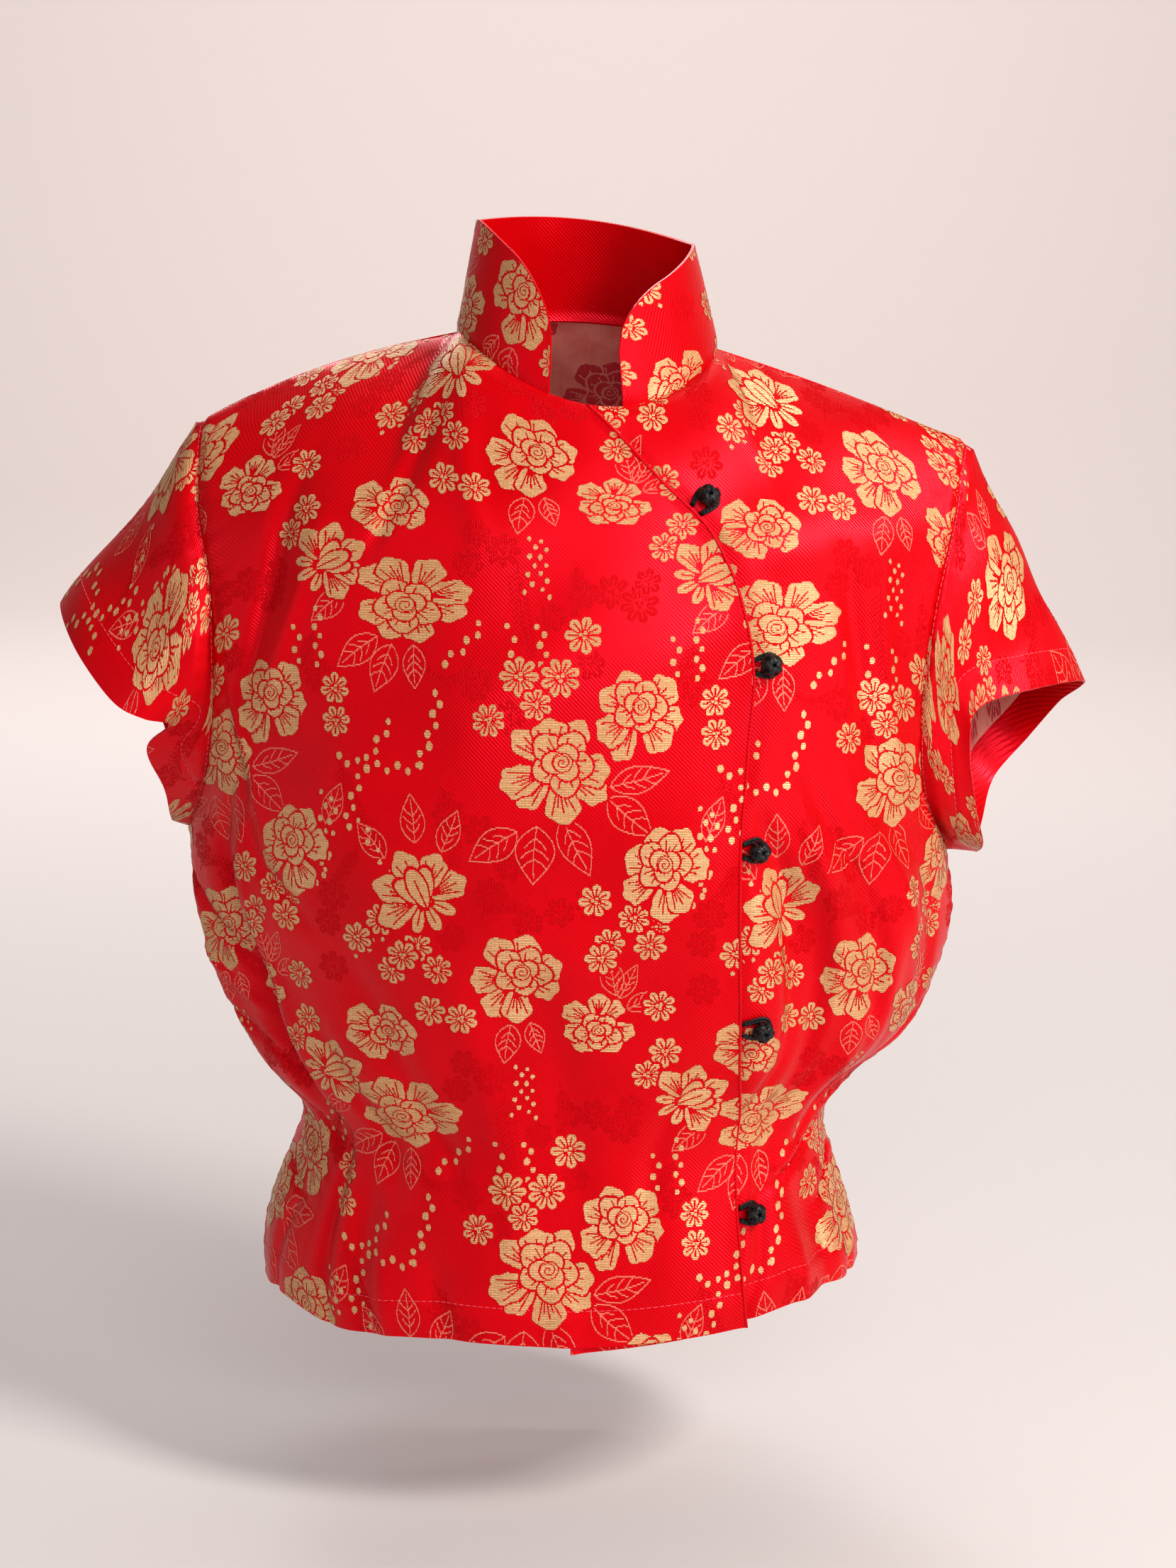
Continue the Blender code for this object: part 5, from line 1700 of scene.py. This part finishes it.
def knot_loop(number, knot, cord, skin):
    """The doubled cord loop that comes from under the lapped edge and passes round the knot."""
    seat, out, along, past = knot_frame(knot)
    tubes = []
    for radius, rise in LOOP_STRANDS:
        start = -knot.past_edge + LOOP_TUCK
        spread = radius * 0.55
        bends = [(start, spread), (0.5 * start, radius * 0.85)]
        for step in range(10):
            turn = math.pi * (0.5 - step / 9.0)
            bends.append((radius * math.cos(turn), radius * math.sin(turn)))
        bends += [(0.5 * start, -radius * 0.85), (start, -spread)]
        bends = np.array(bends)
        at = np.linspace(0.0, len(bends) - 1.0, LOOP_POINTS)
        smooth_run = spline(np.arange(len(bends), dtype=float), bends, at)
        route = []
        for forward, sideways in smooth_run:
            place = seat + past * forward + along * sideways
            found = skin.ray_cast(place + out * LOOP_SEARCH, -out)[0]
            route.append(np.array(found) + out * rise)
        tubes.append(tube(route, LOOP_CORD, 8))
    points, faces, flat = joined(tubes)
    loop = link_mesh(f"loop_{number}_cord", points, faces, (cord,), None, flat)
    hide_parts(f"loop_{number}")
    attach(loop, "root")
    return loop


def sew_top(pieces):
    """Every cloth piece with its brocade and hem stitching."""
    satin = satin_ground()
    reverse = cloth_reverse()
    chart = brocade_repeat()
    wefts = (
        ("gold", floats(chart, GOLD), gold_weft(), FLOAT_LIFT),
        ("outline", floats(chart, LINES), outline_weft(), LINE_LIFT),
        ("tone", floats(chart, TONE), tone_weft(), TONE_LIFT),
    )
    thread = sewing_thread()
    red_floats = reverse_floats()
    for cloth in pieces:
        shell = cloth_shell(cloth, satin, satin if cloth.name == "collar" else reverse)
        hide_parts(cloth.name)
        flat_cloth = FlatCloth(cloth)
        on_it = []
        for kind, repeat, material, lift in wefts:
            name = f"{cloth.name}_{kind}_weft"
            on_it.append(weave(cloth, flat_cloth, repeat, CUTS[cloth.name], name, material, lift))
        if cloth.name != "collar":
            name = f"{cloth.name}_reverse_weft"
            wrong_side = FlatCloth(cloth, inside=True)
            on_it.append(weave(cloth, wrong_side, wefts[0][1], CUTS[cloth.name], name, red_floats, TONE_LIFT))
            line, ups = stitched_line(cloth, HEM_DEPTH)
            points, faces, flat = stitch_line(line, ups)
            on_it.append(link_mesh(f"{cloth.name}_hem_stitches", points, faces, (thread,), None, flat))
        if cloth.closed:
            line, ups = stitched_line(cloth, SEAM_STITCH_DEPTH, from_seam=True)
            points, faces, flat = stitch_line(line, ups)
            on_it.append(link_mesh(f"{cloth.name}_seam_stitches", points, faces, (thread,), None, flat))
        if cloth.name == "right_front":
            on_it.append(rolled_edge(cloth, satin))
        for piece in [shell, *on_it]:
            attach(piece, "root")


def tie_knots(left_front):
    """The five knots and their loops, which lie on the left front."""
    cord = knot_cord()
    rows, columns = left_front.points.shape[:2]
    quads = grid_quads(np.arange(rows * columns).reshape(rows, columns))
    skin = BVHTree.FromPolygons(left_front.points.reshape(-1, 3).tolist(), quads.tolist())
    for number, knot in enumerate(KNOTS, start=1):
        knot_ball(number, knot, cord, skin)
        knot_loop(number, knot, cord, skin)


FLOOR_Z = -0.64
FLOOR_HALF_WIDTH = 14.0
FLOOR_FRONT = -7.0
WALL_Y = 5.0
WALL_BEND = 1.6
WALL_TOP = 4.5
BEND_STEPS = 16


def room():
    """A pale floor that curves up into a pale wall far behind the top."""
    paint = studio_paint("pale_wall_paint", linear("#C9C5C4"))
    profile = [(FLOOR_FRONT, FLOOR_Z)]
    for step in range(BEND_STEPS + 1):
        turn = 0.5 * math.pi * step / BEND_STEPS
        along = WALL_Y - WALL_BEND + WALL_BEND * math.sin(turn)
        profile.append((along, FLOOR_Z + WALL_BEND * (1.0 - math.cos(turn))))
    profile.append((WALL_Y, WALL_TOP))
    points = [(x, y, z) for y, z in profile for x in (-FLOOR_HALF_WIDTH, FLOOR_HALF_WIDTH)]
    faces = [(2 * k, 2 * k + 1, 2 * k + 3, 2 * k + 2) for k in range(len(profile) - 1)]
    link_mesh("studio_sweep", points, faces, (paint,))


def soft_light(name, place, aim, size, power, colour):
    """A rectangular soft box that points at a place."""
    data = bpy.data.lights.new(name, "AREA")
    data.shape = "RECTANGLE"
    data.size = size[0]
    data.size_y = size[1]
    data.energy = power
    data.color = linear(colour)[:3]
    lamp = bpy.data.objects.new(name, data)
    bpy.context.scene.collection.objects.link(lamp)
    away = Matrix.Translation(place).to_translation() - Matrix.Translation(aim).to_translation()
    lamp.matrix_world = Matrix.Translation(place) @ away.to_track_quat("Z", "Y").to_matrix().to_4x4()


def light_room():
    """Soft boxes at the front right, the side, the front and the left, and for wall, top and back."""
    soft_light("key_soft_box", (1.4, -1.0, 1.1), (0.0, 0.0, -0.2), (0.5, 0.5), 47.0, "#FFF8F2")
    soft_light("side_soft_box", (1.5, -1.15, -0.15), (0.05, 0.0, -0.3), (0.30, 1.1), 9.0, "#FFF8F2")
    soft_light("front_soft_box", (0.35, -2.1, 0.62), (0.0, 0.0, -0.2), (1.5, 0.28), 23.0, "#FFFFFF")
    soft_light("fill_soft_box", (-1.9, -1.2, 0.2), (0.0, 0.0, -0.3), (1.2, 1.2), 5.0, "#F4F6FF")
    soft_light("wall_soft_box", (0.0, 2.2, 3.2), (0.0, 5.0, 1.2), (3.6, 1.6), 198.0, "#FFEEE8")
    soft_light("top_soft_box", (0.0, 0.7, 2.2), (0.0, 0.1, -0.4), (1.6, 1.2), 12.0, "#FFFFFF")
    soft_light("back_soft_box", (-0.8, 2.6, 1.6), (0.0, 0.0, -0.2), (1.2, 1.2), 30.0, "#FFFFFF")
    world = bpy.data.worlds.new("room_light")
    bpy.context.scene.world = world
    world.use_nodes = True
    world.node_tree.nodes["Background"].inputs["Color"].default_value = linear("#F2EEEE")
    world.node_tree.nodes["Background"].inputs["Strength"].default_value = 0.22
    bpy.context.scene.view_settings.view_transform = "Standard"


CAMERA_PIVOT = (0.0075, 0.0, -0.246)
CAMERA_DISTANCE = 1.7
CAMERA_PITCH = 11.0
CAMERA_ROLL = 1.7
FOCAL_PIXELS = 4359.0
PICTURE_HEIGHT = 2212.0
SENSOR = 36.0


def set_camera():
    """The photograph's view: slightly from above, tilted a little, through a long lens."""
    data = bpy.data.cameras.new("view")
    data.sensor_fit = "AUTO"
    data.sensor_width = SENSOR
    data.lens = SENSOR * FOCAL_PIXELS / PICTURE_HEIGHT
    camera = bpy.data.objects.new("view", data)
    bpy.context.scene.collection.objects.link(camera)
    pitch = math.radians(CAMERA_PITCH)
    place = (
        CAMERA_PIVOT[0],
        CAMERA_PIVOT[1] - CAMERA_DISTANCE * math.cos(pitch),
        CAMERA_PIVOT[2] + CAMERA_DISTANCE * math.sin(pitch),
    )
    tilt = Matrix.Rotation(math.radians(90.0 - CAMERA_PITCH), 4, "X")
    roll = Matrix.Rotation(math.radians(CAMERA_ROLL), 4, "Z")
    camera.matrix_world = Matrix.Translation(place) @ tilt @ roll
    bpy.context.scene.camera = camera


cut = cut_cloth()
sew_top(cut)
tie_knots(cut[1])
room()
light_room()
set_camera()
